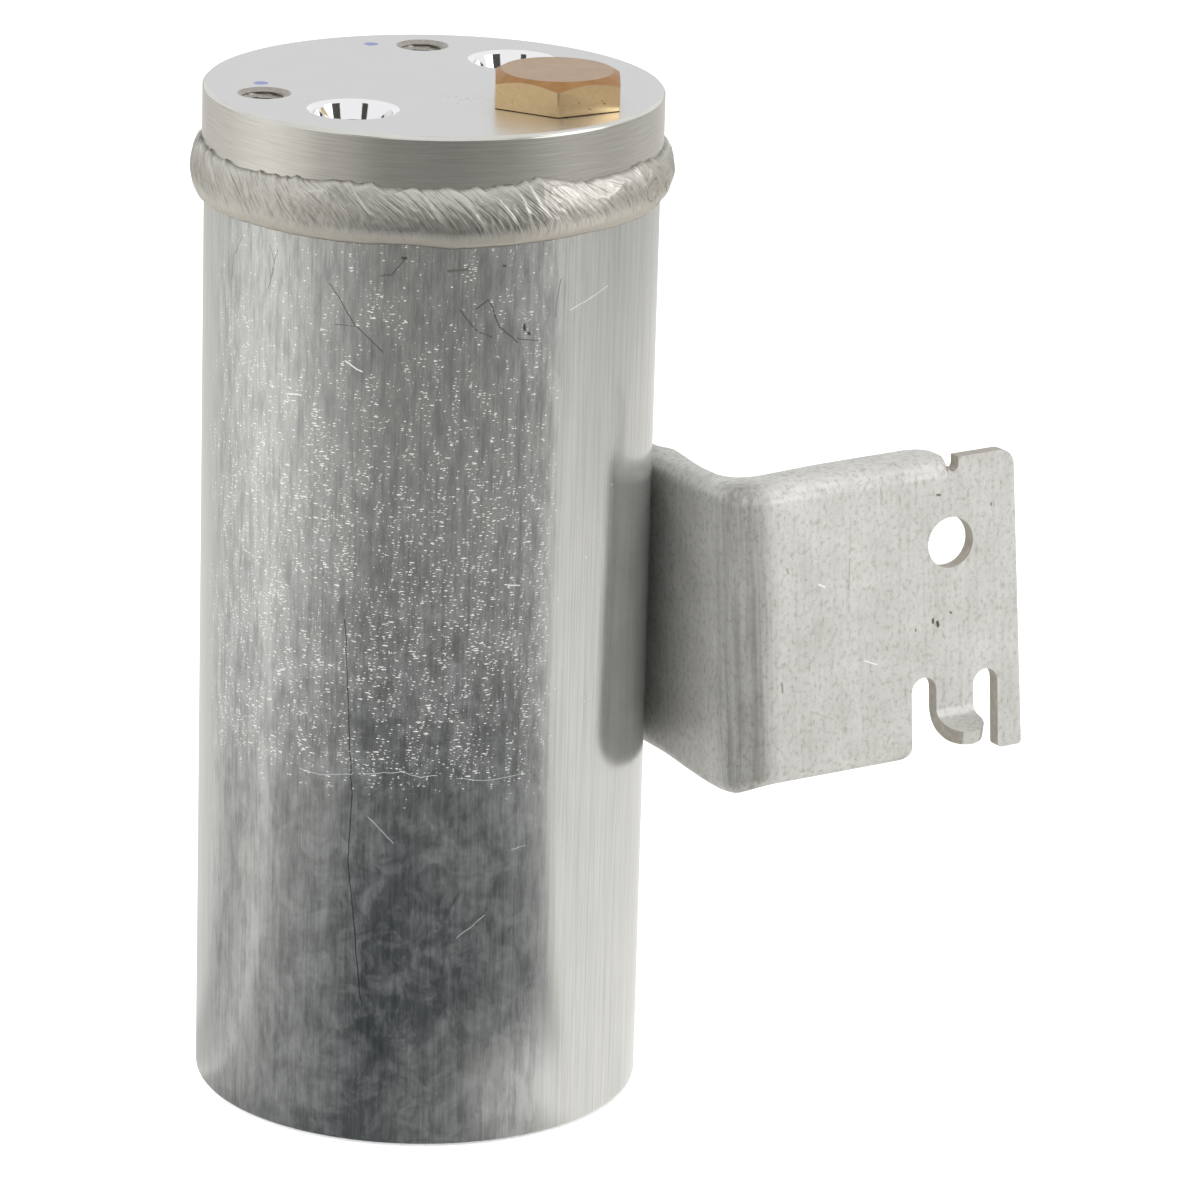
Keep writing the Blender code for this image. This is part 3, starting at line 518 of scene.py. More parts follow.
    plug(material, Base_Color=colour, Metallic=bare, Roughness=roughness, Normal=relief)
    return material


def makeCan():
    radius, height, edge = can["radius"], can["height"], can["edgeRadius"]
    bore = radius - can["wall"]
    profile = [(0.0, 0.0)] + arc((radius - edge, edge), edge, -90, 0, 6)
    profile += [(radius, z) for z in spread(edge, height - 1.0, can["rows"])[1:]]
    profile += [(radius - 1.0, height), (bore, height), (bore, can["bottom"]), (0.0, can["bottom"])]
    piece = newSolid("canShell", turned(profile, can["steps"]), makeCanFinish())
    layer = piece.data.uv_layers.new(name="wall")
    for face in piece.data.polygons:
        middle = math.atan2(face.center.y, face.center.x)
        for corner in face.loop_indices:
            point = piece.data.vertices[piece.data.loops[corner].vertex_index].co
            turn = math.remainder(math.atan2(point.y, point.x) - middle, math.tau) + middle
            layer.data[corner].uv = (turn * radius * mm, point.z)
    finishPiece(piece, "can", "can_body")


makeCan()

head = {
    "radius": 30.3,
    "seat": 127.0,
    "top": 137.5,
    "spigotRadius": 27.2,
    "spigotBottom": 121.0,
    "edgeChamfer": 0.35,
    "patternAzimuth": 56.5,
    "portOffset": 18.75,
    "mouth": 12.0,
    "lip": 10.3,
    "bore": 9.0,
    "passage": 6.4,
    "lipDepth": 0.35,
    "taperDepth": 2.4,
    "boreDepth": 5.5,
    "tappedHole": (18.4, 14.2),
    "threadMinor": 5.0,
    "threadMajor": 6.0,
    "threadPitch": 1.0,
    "threadDepth": 12.0,
    "countersink": 7.0,
    "plug": (1.2, -18.3),
    "plugPocket": (7.7, 1.9),
    "plugBore": 6.1,
    "tubeSocket": (5.05, 127.0),
    "turningPitch": 0.16,
    "inkDots": ((-8.6, 23.2), (-22.6, -1.8)),
    "inkRadius": 1.05,
    "speckCentre": (3.5, -9.0),
    "speckReach": 5.0,
}


def patternPoint(first, second):
    angle = math.radians(head["patternAzimuth"])
    return (
        first * math.cos(angle) - second * math.sin(angle),
        first * math.sin(angle) + second * math.cos(angle),
    )


plugCentre = patternPoint(*head["plug"])


# Aluminium faced on a lathe: a fine even satin, with two dots of marking ink and a few dark specks.
def makeHeadFaceFinish():
    material = newMaterial("Faced aluminium", "#e6e6e7", 1.0, 0.33)
    coords = addNode(material, "ShaderNodeTexCoord").node.outputs["Object"]
    flat = addNode(material, "ShaderNodeVectorMath", {"operation": "MULTIPLY", 1: (1, 1, 0)}, {0: coords})
    radius = addNode(material, "ShaderNodeVectorMath", {"operation": "LENGTH"}, {0: flat})
    radius = radius.node.outputs["Value"]
    rings = addNode(
        material,
        "ShaderNodeTexNoise",
        {"noise_dimensions": "1D", "Scale": 1 / (head["turningPitch"] * mm), "Detail": 3.0},
        {"W": radius},
    )
    cloud = addNode(
        material, "ShaderNodeTexNoise", {"Scale": 160.0, "Detail": 6.0, "Roughness": 0.65}, {"Vector": flat}
    )
    grain = addNode(material, "ShaderNodeTexNoise", {"Scale": 2600.0, "Detail": 2.0}, {"Vector": flat})
    colour = addNode(
        material,
        "ShaderNodeMix",
        {"data_type": "RGBA", 6: linear("#bfc0c0"), 7: linear("#d0d1d0")},
        {0: cloud},
    )
    metal = None
    for centre in head["inkDots"]:
        away = addNode(
            material,
            "ShaderNodeVectorMath",
            {"operation": "DISTANCE", 1: (centre[0] * mm, centre[1] * mm, 0)},
            {0: flat},
        ).node.outputs["Value"]
        ragged = addNode(
            material, "ShaderNodeMath", {"operation": "MULTIPLY_ADD", 1: 0.35 * mm}, {0: cloud, 2: away}
        )
        ink = addNode(
            material,
            "ShaderNodeMapRange",
            {
                "From Min": (head["inkRadius"] + 0.25) * mm,
                "From Max": head["inkRadius"] * mm,
                "To Min": 0.0,
                "To Max": 0.9,
            },
            {"Value": ragged},
        )
        colour = addNode(
            material,
            "ShaderNodeMix",
            {"data_type": "RGBA", 7: linear("#4a5a9a")},
            {0: ink, 6: colour},
        )
        bare = addNode(material, "ShaderNodeMath", {"operation": "SUBTRACT", 0: 1.0}, {1: ink})
        metal = bare if metal is None else addNode(
            material, "ShaderNodeMath", {"operation": "MULTIPLY"}, {0: metal, 1: bare}
        )
    away = addNode(
        material,
        "ShaderNodeVectorMath",
        {"operation": "DISTANCE", 1: (*[c * mm for c in head["speckCentre"]], 0)},
        {0: flat},
    ).node.outputs["Value"]
    dusty = addNode(
        material,
        "ShaderNodeMapRange",
        {"From Min": head["speckReach"] * mm, "From Max": 0.0, "To Min": 0.0, "To Max": 1.0},
        {"Value": away},
    )
    spots = addNode(material, "ShaderNodeTexNoise", {"Scale": 1500.0, "Detail": 1.0}, {"Vector": flat})
    specks = addNode(
        material,
        "ShaderNodeMapRange",
        {"From Min": 0.64, "From Max": 0.7, "To Min": 0.0, "To Max": 0.8},
        {"Value": spots},
    )
    specks = addNode(material, "ShaderNodeMath", {"operation": "MULTIPLY"}, {0: specks, 1: dusty})
    colour = addNode(
        material, "ShaderNodeMix", {"data_type": "RGBA", 7: linear("#3d3b38")}, {0: specks, 6: colour}
    )
    raised = addNode(
        material, "ShaderNodeMath", {"operation": "MULTIPLY_ADD", 1: 0.8}, {0: grain, 2: rings}
    )
    relief = addNode(
        material, "ShaderNodeBump", {"Strength": 0.12, "Distance": 0.01 * mm}, {"Height": raised}
    )
    roughness = addNode(
        material,
        "ShaderNodeMapRange",
        {"From Min": 0.3, "From Max": 0.7, "To Min": 0.26, "To Max": 0.38},
        {"Value": cloud},
    )
    plug(material, Base_Color=colour, Metallic=metal, Roughness=roughness, Normal=relief)
    return material


# The same bar turned on its side: fine level tool lines.
def makeHeadSideFinish():
    material = newMaterial("Turned aluminium", "#cfcec9", 1.0, 0.2)
    coords = addNode(material, "ShaderNodeTexCoord").node.outputs["Object"]
    level = addNode(material, "ShaderNodeMapping", {"Scale": (0.02, 0.02, 1)}, {"Vector": coords})
    lines = addNode(
        material,
        "ShaderNodeTexNoise",
        {"Scale": 1 / (head["turningPitch"] * mm), "Detail": 4.0, "Roughness": 0.7},
        {"Vector": level},
    )
    colour = addNode(
        material,
        "ShaderNodeMix",
        {"data_type": "RGBA", 6: linear("#b3b2ab"), 7: linear("#ebeae5")},
        {0: lines},
    )
    relief = addNode(
        material, "ShaderNodeBump", {"Strength": 0.1, "Distance": 0.01 * mm}, {"Height": lines}
    )
    plug(material, Base_Color=colour, Normal=relief)
    return material


# The port walls are cut with a form tool and shine like a mirror.
def makePortFinish():
    material = newMaterial("Polished aluminium bore", "#ececee", 1.0, 0.07)
    coords = addNode(material, "ShaderNodeTexCoord").node.outputs["Object"]
    level = addNode(material, "ShaderNodeMapping", {"Scale": (0.1, 0.1, 1)}, {"Vector": coords})
    lines = addNode(material, "ShaderNodeTexNoise", {"Scale": 5000.0, "Detail": 2.0}, {"Vector": level})
    relief = addNode(
        material, "ShaderNodeBump", {"Strength": 0.12, "Distance": 0.01 * mm}, {"Height": lines}
    )
    plug(material, Normal=relief)
    return material


# Drilled floors and threads: duller, with the drill's lines.
def makeDrilledFinish():
    material = newMaterial("Drilled aluminium", "#b9b6b0", 1.0, 0.3)
    coords = addNode(material, "ShaderNodeTexCoord").node.outputs["Object"]
    lines = addNode(material, "ShaderNodeTexNoise", {"Scale": 2400.0, "Detail": 3.0}, {"Vector": coords})
    colour = addNode(
        material,
        "ShaderNodeMix",
        {"data_type": "RGBA", 6: linear("#85817b"), 7: linear("#b9b5ae")},
        {0: lines},
    )
    plug(material, Base_Color=colour)
    return material


def makePortTool(centre, polished, drilled):
    top = head["top"]
    half = {key: head[key] / 2 for key in ("mouth", "lip", "bore", "passage")}
    profile = [
        (0.0, head["spigotBottom"] - 2.0),
        (half["passage"], head["spigotBottom"] - 2.0),
        (half["passage"], top - head["boreDepth"] - 0.3),
        (half["bore"] - 0.4, top - head["boreDepth"]),
        (half["bore"], top - head["boreDepth"] + 0.4),
        (half["bore"], top - head["taperDepth"]),
        (half["lip"] - 0.1, top - head["lipDepth"] - 0.25),
        (half["lip"], top - head["lipDepth"]),
        (half["mouth"] - 0.08, top - 0.03),
        (half["mouth"], top),
        (half["mouth"], top + 2.0),
        (0.0, top + 2.0),
    ]
    tool = newSolid("portTool", turned(profile, 96, centre), polished, drilled)
    for polygon in tool.data.polygons:
        if polygon.center.z < (top - head["taperDepth"] - 0.05) * mm:
            polygon.material_index = 1
    return tool


# The thread is a true helix: each row of the bore swings between its minor and major radius.
def makeThreadTool(centre, drilled):
    top = head["top"]
    minor, major = head["threadMinor"] / 2, head["threadMajor"] / 2
    sink = head["countersink"] / 2
    sinkDepth = sink - major
    low = top - head["threadDepth"]
    rows = spread(low, top - sinkDepth, int((head["threadDepth"] - sinkDepth) / head["threadPitch"] * 8))
    profile = [(0.0, low - 1.3)] + [(minor, z) for z in rows]
    profile += [(major, top - sinkDepth + 0.02), (sink, top), (sink, top + 2.0), (0.0, top + 2.0)]
    bm = turned(profile, 64, centre)
    for vert in bm.verts:
        height = vert.co.z / mm
        if low + 0.2 < height < top - sinkDepth:
            angle = math.atan2(vert.co.y - centre[1] * mm, vert.co.x - centre[0] * mm)
            wave = (height / head["threadPitch"] - angle / math.tau) % 1.0
            depth = (major - minor) * (1.0 - abs(2.0 * wave - 1.0)) * mm
            vert.co.x += depth * math.cos(angle)
            vert.co.y += depth * math.sin(angle)
    return newSolid("threadTool", bm, drilled)


def makeHead():
    top, seat, radius = head["top"], head["seat"], head["radius"]
    bottom, spigot, chamfer = head["spigotBottom"], head["spigotRadius"], head["edgeChamfer"]
    land = radius - 1.3
    profile = [(0.0, bottom), (spigot - 0.6, bottom), (spigot, bottom + 0.6), (spigot, seat), (land, seat)]
    profile += [(radius, seat + 1.3), (radius, seat + 1.6), (radius, top - chamfer - 0.3)]
    profile += [(radius, top - chamfer - 0.06), (radius - 0.03, top - chamfer)]
    profile += [(radius - chamfer + 0.03, top - 0.03), (radius - chamfer - 0.05, top), (0.0, top)]
    face, side = makeHeadFaceFinish(), makeHeadSideFinish()
    polished, drilled = makePortFinish(), makeDrilledFinish()
    piece = newSolid("headBlock", turned(profile, 240), side, face)
    for polygon in piece.data.polygons:
        if polygon.normal.z > 0.99:
            polygon.material_index = 1
    for side in (-1, 1):
        carve(piece, makePortTool(patternPoint(side * head["portOffset"], 0.0), polished, drilled))
        hole = patternPoint(side * head["tappedHole"][0], head["tappedHole"][1])
        carve(piece, makeThreadTool(hole, drilled))
    socket, socketTop = head["tubeSocket"]
    profile = [(0.0, bottom - 2.0), (socket, bottom - 2.0), (socket, socketTop), (0.0, socketTop)]
    outlet = patternPoint(head["portOffset"], 0.0)
    carve(piece, newSolid("socketTool", turned(profile, 64, outlet), drilled))
    pocket, depth = head["plugPocket"]
    bore = head["plugBore"]
    profile = [(0.0, bottom - 2.0), (bore, bottom - 2.0), (bore, top - depth), (pocket, top - depth)]
    profile += [(pocket, top + 2.0), (0.0, top + 2.0)]
    carve(piece, newSolid("plugBoreTool", turned(profile, 96, plugCentre), drilled))
    finishPiece(piece, "head", "head", smoothAngle=28.0)


makeHead()

weld = {
    "low": 123.25,
    "high": 130.85,
    # Azimuth, then how far the lower and the upper edge stray from those heights.
    "strays": (
        (-180, -0.7, -0.7),
        (-140, -0.3, -0.7),
        (-113, -0.3, 0.2),
        (-95, 0.0, 0.0),
        (-84, -0.4, 0.0),
        (-72, -0.2, 0.3),
        (-63, 0.0, 1.0),
        (-50, 0.2, -0.2),
        (-30, 0.3, 0.0),
        (-8, 1.1, -0.6),
        (25, 0.6, -0.4),
        (70, 0.0, 0.0),
        (120, -0.4, -0.3),
        (180, -0.7, -0.7),
    ),
    "canSide": 29.9,
    "headSide": 30.2,
    "toe": 0.12,
    "crown": 1.7,
    "fullness": 0.5,
    "sag": 0.85,
    "rows": 40,
    "steps": 1100,
    "fineRipples": 170,
    "fineDepth": 0.09,
    "coarseRipples": 41,
    "coarseDepth": 0.17,
    "lean": 6.0,  # how far right a ripple runs as it comes down
    "leanFrom": 0.2,
    "streak": 0.34,
    "lumpAzimuth": -22.0,
    "lumpSpread": 9.0,
    "lumpSwell": 0.3,
}


# Filler metal laid by an arc: bright and combed into fine scaly ripples, with painted shade in the streaks'
# crevices, the ripples' troughs, the cracks and along the toes.
def makeWeldFinish():
    material = newMaterial("Arc-welded aluminium", "#dcdbd6", 1.0, 0.3)
    coords = addNode(material, "ShaderNodeTexCoord").node.outputs["Object"]
    hollowShade = addNode(material, "ShaderNodeAttribute", {"attribute_name": "hollowShade"}).node.outputs["Fac"]
    smooth = addNode(material, "ShaderNodeAttribute", {"attribute_name": "smooth"}).node.outputs["Fac"]
    flow = addNode(material, "ShaderNodeAttribute", {"attribute_name": "flow"}).node.outputs["Vector"]
    grain = addNode(
        material,
        "ShaderNodeTexNoise",
        {"Scale": 1500.0, "Detail": 4.0, "Roughness": 0.6},
        {"Vector": coords},
    )
    cloud = addNode(material, "ShaderNodeTexNoise", {"Scale": 220.0, "Detail": 3.0}, {"Vector": coords})
    streaks = addNode(
        material,
        "ShaderNodeTexNoise",
        {"Scale": 1 / weld["streak"], "Detail": 3.0, "Roughness": 0.55},
        {"Vector": flow},
    )
    combed = addNode(
        material, "ShaderNodeMath", {"operation": "SUBTRACT", 0: 1.0}, {1: smooth}
    )
    clean = addNode(
        material,
        "ShaderNodeMix",
        {"data_type": "RGBA", 6: linear("#c6c4bd"), 7: linear("#e2e0da")},
        {0: cloud},
    )
    # Painted shade: the low parts of the combed streaks are darkened.
    creviceShade = addNode(
        material,
        "ShaderNodeMapRange",
        {"From Min": 0.5, "From Max": 0.3, "To Min": 0.0, "To Max": 0.75},
        {"Value": streaks},
    )
    creviceShade = addNode(material, "ShaderNodeMath", {"operation": "MULTIPLY"}, {0: creviceShade, 1: combed})
    lined = addNode(
        material,
        "ShaderNodeMix",
        {"data_type": "RGBA", 7: linear("#86827a")},
        {0: creviceShade, 6: clean},
    )
    warm = addNode(
        material,
        "ShaderNodeMix",
        {"data_type": "RGBA", 7: linear("#9b9487")},
        {0: addNode(material, "ShaderNodeMath", {"operation": "MULTIPLY", 1: 0.8}, {0: smooth}), 6: lined},
    )
    # Painted shade: darker in the ripples' troughs, the cracks and along the toes.
    colour = addNode(
        material,
        "ShaderNodeMix",
        {"data_type": "RGBA", 7: linear("#6b675f")},
        {0: hollowShade, 6: warm},
    )
    roughness = addNode(
        material,
        "ShaderNodeMapRange",
        {"From Min": 0.3, "From Max": 0.7, "To Min": 0.26, "To Max": 0.44},
        {"Value": grain},
    )
    raised = addNode(
        material,
        "ShaderNodeMath",
        {"operation": "MULTIPLY_ADD", 1: 0.12},
        {0: grain, 2: addNode(
            material, "ShaderNodeMath", {"operation": "MULTIPLY"}, {0: streaks, 1: combed}
        )},
    )
    relief = addNode(
        material, "ShaderNodeBump", {"Strength": 0.8, "Distance": 0.12 * mm}, {"Height": raised}
    )
    bare = addNode(material, "ShaderNodeMath", {"operation": "MULTIPLY_ADD", 1: -0.45, 2: 1.0}, {0: smooth})
    plug(material, Base_Color=colour, Metallic=bare, Roughness=roughness, Normal=relief)
    return material


def scaleTooth(phase):
    part = phase - math.floor(phase)
    return part * part * (1.0 - smoothStep((part - 0.84) / 0.16))


# How far the bead's skin stands out at an azimuth and a share of the way up, with what it is like.
def weldSkin(azimuth, share):
    around = Vector((math.cos(azimuth), math.sin(azimuth), 0.0)) * 30.0
    drift = noise.noise(around * 0.18 + Vector((0, 0, 7.0)))
    jitter = noise.noise(around * 0.6 + Vector((0, 0, share * 1.5)))
    lean = max((share - weld["leanFrom"]) / (1.0 - weld["leanFrom"]), 0.0) ** 1.5
    turn = azimuth + (weld["lean"] * (1.0 + 0.4 * drift) * lean) / 31.0
    fine = scaleTooth(turn / math.tau * weld["fineRipples"] + 0.8 * jitter)
    coarse = scaleTooth(turn / math.tau * weld["coarseRipples"] + 1.3 * drift)
    bulge = math.sin(math.pi * min(max(share, 0.0), 1.0) ** weld["sag"]) ** weld["fullness"]
    upper = smoothStep((share - 0.2) / 0.35)
    fromLump = math.remainder(azimuth - math.radians(weld["lumpAzimuth"]), math.tau)
    lump = math.exp(-((math.degrees(fromLump) / weld["lumpSpread"]) ** 4))
    ripples = weld["fineDepth"] * upper * fine + weld["coarseDepth"] * upper * coarse
    ripples *= 1.0 - 0.8 * lump
    knots = noise.noise(around * 0.45 + Vector((3.0, 0, share * 3.0)))
    swell = 1.0 + 0.07 * drift + lump * (weld["lumpSwell"] * (0.6 + 0.5 * jitter) + 0.25 * knots)
    rough = 0.05 * noise.noise(around * 1.7 + Vector((0, 0, share * 6.0)))
    out = weld["toe"] + (weld["crown"] - weld["toe"]) * bulge * swell + (ripples + rough) * bulge
    crack = lump * (1.0 - smoothStep(abs(knots) / 0.035))
    # Painted shade for the finish: the ripples' troughs, the cracks, and the toes where the bead meets the can
    # and the head.
    sunkShade = (1.0 - fine) * 0.14 * upper + (1.0 - coarse) * 0.14 * upper + 0.8 * crack
    toe = smoothStep((0.06 - share) / 0.06) + 0.5 * smoothStep((share - 0.96) / 0.04)
    plain = 1.0 - smoothStep((share - 0.1) / 0.25) * (1.0 - 0.7 * lump)
    return out - 0.15 * crack, min(sunkShade + toe, 1.0), plain, turn, coarse, jitter


def makeHeadWeld():
    crown = [(weld["canSide"] + 1.0, z) for z in spread(weld["low"], weld["high"], weld["rows"])]
    profile = crown + [(weld["headSide"], weld["high"]), (29.2, 127.0), (weld["canSide"], weld["low"])]
    bm = turned(profile, weld["steps"])
    hollowShade = bm.verts.layers.float.new("hollowShade")
    smooth = bm.verts.layers.float.new("smooth")
    flow = bm.verts.layers.float_vector.new("flow")
    span = weld["high"] - weld["low"]
    for vert in bm.verts:
        radius = vert.co.xy.length / mm
        azimuth = math.atan2(vert.co.y, vert.co.x)
        share = (vert.co.z / mm - weld["low"]) / span
        low, high = graded(weld["strays"], math.degrees(azimuth))
        edge = share < 0.01 or share > 0.99
        if radius > weld["canSide"] + 0.9 or edge:
            vert.co.z += (low + (high - low) * share) * mm
        if radius < weld["canSide"] + 0.9:
            continue
        out, vert[hollowShade], vert[smooth], turn, coarse, jitter = weldSkin(azimuth, share)
        side = weld["canSide"] + (weld["headSide"] - weld["canSide"]) * share
        scale = (side + out) * mm / vert.co.xy.length
        vert.co.x *= scale
        vert.co.y *= scale
        ragged = (0.45 * coarse + 0.25 * jitter - 0.1) * share**3
        vert.co.z += (ragged - 0.12 * jitter * (1 - share) ** 3) * mm
        vert[flow] = (31.0 * math.cos(turn), 31.0 * math.sin(turn), share * span * 0.15)
    piece = newSolid("headWeldBead", bm, makeWeldFinish())
    finishPiece(piece, "weld", "head_weld", smoothAngle=60.0)


makeHeadWeld()

hexPlug = {
    "acrossFlats": 16.1,
    "seat": 137.6,
    "top": 141.85,
    "chamferDiameter": 14.6,
    "chamferAngle": 30.0,
    "shank": 5.8,
    "shankBottom": 125.75,
}


# Brass bar, machined and passivated: bright pale gold flats that reflect the room.
def makePlugSideFinish():
    material = newMaterial("Passivated brass", "#e6c898", 1.0, 0.2)
    coords = addNode(material, "ShaderNodeTexCoord").node.outputs["Object"]
    grain = addNode(material, "ShaderNodeTexNoise", {"Scale": 1300.0, "Detail": 4.0}, {"Vector": coords})
    colour = addNode(
        material,
        "ShaderNodeMix",
        {"data_type": "RGBA", 6: linear("#dcba88"), 7: linear("#ecd1a6")},
        {0: grain},
    )
    pits = addNode(
        material,
        "ShaderNodeMapRange",
        {"From Min": 0.74, "From Max": 0.77, "To Min": 0.0, "To Max": 0.85},
        {"Value": addNode(
            material, "ShaderNodeTexNoise", {"Scale": 2100.0, "Detail": 1.0}, {"Vector": coords}
        )},
    )
    pitted = addNode(
        material, "ShaderNodeMix", {"data_type": "RGBA", 7: linear("#5a3a1a")}, {0: pits, 6: colour}
    )
    relief = addNode(
        material, "ShaderNodeBump", {"Strength": 0.25, "Distance": 0.02 * mm}, {"Height": grain}
    )
    plug(material, Base_Color=pitted, Normal=relief)
    return material


# The cone that breaks the hexagon's corners is turned and rougher than the flats; its darker brown is painted
# shade, standing for the dark ceiling that it reflects.
def makePlugConeFinish():
    material = newMaterial("Turned brass", "#a57c50", 1.0, 0.42)
    coords = addNode(material, "ShaderNodeTexCoord").node.outputs["Object"]
    cloud = addNode(material, "ShaderNodeTexNoise", {"Scale": 700.0, "Detail": 4.0}, {"Vector": coords})
    # Painted shade: both browns are darker than the brass flats.
    colour = addNode(
        material,
        "ShaderNodeMix",
        {"data_type": "RGBA", 6: linear("#936b42"), 7: linear("#b58c60")},
        {0: cloud},
    )
    plug(material, Base_Color=colour)
    return material


# The plug's top is sawn and tumbled: matt, pinkish tan, with light rubs.
def makePlugTopFinish():
    material = newMaterial("Tumbled brass", "#c3a98a", 1.0, 0.5)
    coords = addNode(material, "ShaderNodeTexCoord").node.outputs["Object"]
    cloud = addNode(
        material, "ShaderNodeTexNoise", {"Scale": 420.0, "Detail": 6.0, "Roughness": 0.7}, {"Vector": coords}
    )
    colour = addNode(
        material,
        "ShaderNodeMix",
        {"data_type": "RGBA", 6: linear("#a38b74"), 7: linear("#c1aa92")},
        {0: cloud},
    )
    relief = addNode(
        material, "ShaderNodeBump", {"Strength": 0.3, "Distance": 0.03 * mm}, {"Height": cloud}
    )
    plug(material, Base_Color=colour, Normal=relief)
    return material


def makeHexPlug():
    low, top = hexPlug["seat"], hexPlug["top"]
    corner = hexPlug["acrossFlats"] / math.sqrt(3)
    bm = bmesh.new()
    place = Matrix.Translation(Vector((*plugCentre, (low + top) / 2)) * mm)
    bmesh.ops.create_cone(
        bm,
        cap_ends=True,
        segments=6,
        radius1=corner * mm,
        radius2=corner * mm,
        depth=(top - low) * mm,
        matrix=place,
    )
    upright = [e for e in bm.edges if abs(e.verts[0].co.z - e.verts[1].co.z) > mm]
    bmesh.ops.bevel(
        bm, geom=upright, offset=0.15 * mm, affect="EDGES", segments=3, profile=0.5, material=-1
    )
    sides, matt = makePlugSideFinish(), makePlugTopFinish()
    piece = newSolid("hexPlugHead", bm, sides, matt)
    slope = math.tan(math.radians(hexPlug["chamferAngle"]))
    inner, reach = hexPlug["chamferDiameter"] / 2, corner + 2.0
    profile = [(inner, top), (reach, top - (reach - inner) * slope), (reach, top + 2.0), (inner, top + 2.0)]
    carve(piece, newSolid("chamferTool", turned(profile, 180, plugCentre), makePlugConeFinish()))
    shank = hexPlug["shank"]
    profile = [(0.0, hexPlug["shankBottom"]), (shank - 0.8, hexPlug["shankBottom"])]
    profile += [(shank, hexPlug["shankBottom"] + 0.8), (shank, low + 2.0), (0.0, low + 2.0)]
    carve(piece, newSolid("shankTool", turned(profile, 64, plugCentre), sides), "UNION")
    for polygon in piece.data.polygons:
        if polygon.normal.z > 0.98:
            polygon.material_index = 1
    finishPiece(piece, "plug", "hex_plug", smoothAngle=20.0)


makeHexPlug()

bracket = {
    "sheet": 2.0,
    "azimuth": 27.1,
    "tilt": -3.26,
    "tiltAxisLead": 35.0,
    "middle": 62.0,
    "low": 42.6,
    "high": 84.3,
    "leg": 32.3,
    "plate": 43.9,
    "plateEndSlant": 0.9,
    "bend": 5.0,
    "flangeBend": 2.6,
    "legFlange": 2.8,
    "legCrest": (8.0, 4.1, 4.0, 12.0),  # station, width, and the lengths of its rise and its fall
    "plateRoot": 6.1,
    "plateFlange": 7.0,
    "lowerFlange": 4.4,
    "flangeGrowth": 14.0,
    "fillet": (4.4, 4.7),  # along the leg and along the plate
    "cornerDrop": (24.0, 1.7, 12.0),  # station, depth, and the length that it dies out over
    "flangeEnd": 2.8,
    "foot": 38.0,
    "footRadius": 30.1,
    "footBlend": 12.0,
    "slot": 3.85,
    "slotHeight": 11.75,
    "outerSlotHeight": 11.5,
    "tine": 3.7,
    "tongue": 5.8,
    "tongueBend": 7.05,
    "tongueInner": 1.4,
    "tongueAngle": 74.0,
    "tongueReach": 3.9,
    "notch": 1.6,
    "notchDepth": 1.9,
    "tab": 9.6,
    "tabCorner": 2.2,
    "tineCorner": 0.6,
    "slotCorner": 2.0,
    "hole": 7.0,
    "holeFromEnd": 10.9,
    "holeFromTop": 11.7,
    # Marks on its face: width, colour, and the points along the plate and up that each runs through.
    "marks": (
        (0.30, "#4b463e", ((30.1, 62.3), (30.1, 61.9))),
        (0.34, "#3d3831", ((30.8, 61.8), (30.9, 61.3))),
        (0.22, "#6b655a", ((32.8, 62.9), (33.0, 62.8))),
        (0.20, "#7d776b", ((27.4, 61.4), (27.4, 61.1))),
        (0.26, "#6f6a60", ((31.0, 79.5), (31.4, 79.4))),
        (0.20, "#7d776b", ((39.4, 77.1), (39.4, 76.8))),
        (0.14, "#a3a199", ((17.3, 72.7), (17.1, 68.4))),
        (0.11, "#aeaca4", ((17.5, 78.4), (17.3, 73.3))),
        (0.22, "#8d8b84", ((6.6, 57.2), (6.7, 55.9))),
        (0.13, "#a3a199", ((22.1, 81.8), (22.5, 80.2), (22.1, 79.5))),
        (0.16, "#e9e8e4", ((12.5, 69.9), (13.4, 69.4))),
        (0.22, "#9a9890", ((7.7, 72.8), (7.9, 72.1))),
        (0.12, "#e9e8e4", ((19.4, 58.2), (21.3, 57.4))),
        (0.12, "#aeaca4", ((11.0, 52.5), (14.5, 50.8))),
    ),
}
bendStart = bracket["leg"] - bracket["bend"]
plateStart = bendStart + bracket["bend"] * math.pi / 2
tabStart = bracket["plate"] - bracket["tab"]
flangeStop = tabStart - bracket["notch"]
tongueStart = bracket["plate"] - bracket["tine"] - bracket["slot"] - bracket["tongue"]
lowerStop = tongueStart - bracket["slot"]
canAxis = Vector((-30.3, bracket["leg"], 0.0))


# The bracket's own frame: its plate's face on y = 0 along +X, its leg's face on x = 0 along +Y.
def bracketMatrix():
    turn = Matrix.Rotation(math.radians(bracket["azimuth"]), 4, "Z") @ Matrix.Translation(-canAxis * mm)
    lean = math.radians(bracket["azimuth"] + bracket["tiltAxisLead"])
    tilt = Matrix.Rotation(math.radians(bracket["tilt"]), 4, Vector((math.cos(lean), math.sin(lean), 0)))
    middle = Matrix.Translation((0, 0, bracket["middle"] * mm))
    return middle @ tilt @ middle.inverted() @ turn


toWorld = bracketMatrix()
toBracket = toWorld.inverted()


# Place and inward direction of the sheet's outer face, at a length along it from the foot.
def sheetPath(station):
    if station < 0.0:
        angle = -station / bracket["footRadius"]
        normal = Vector((math.cos(angle), math.sin(angle), 0.0))
        return canAxis + normal * bracket["footRadius"], normal
    if station < bendStart:
        return Vector((0.0, bracket["leg"] - station, 0.0)), Vector((1.0, 0.0, 0.0))
    if station < plateStart:
        angle = (station - bendStart) / bracket["bend"]
        normal = Vector((math.cos(angle), math.sin(angle), 0.0))
        return Vector((bracket["bend"], bracket["bend"], 0.0)) - normal * bracket["bend"], normal
    return Vector((bracket["bend"] + station - plateStart, 0.0, 0.0)), Vector((0.0, 1.0, 0.0))


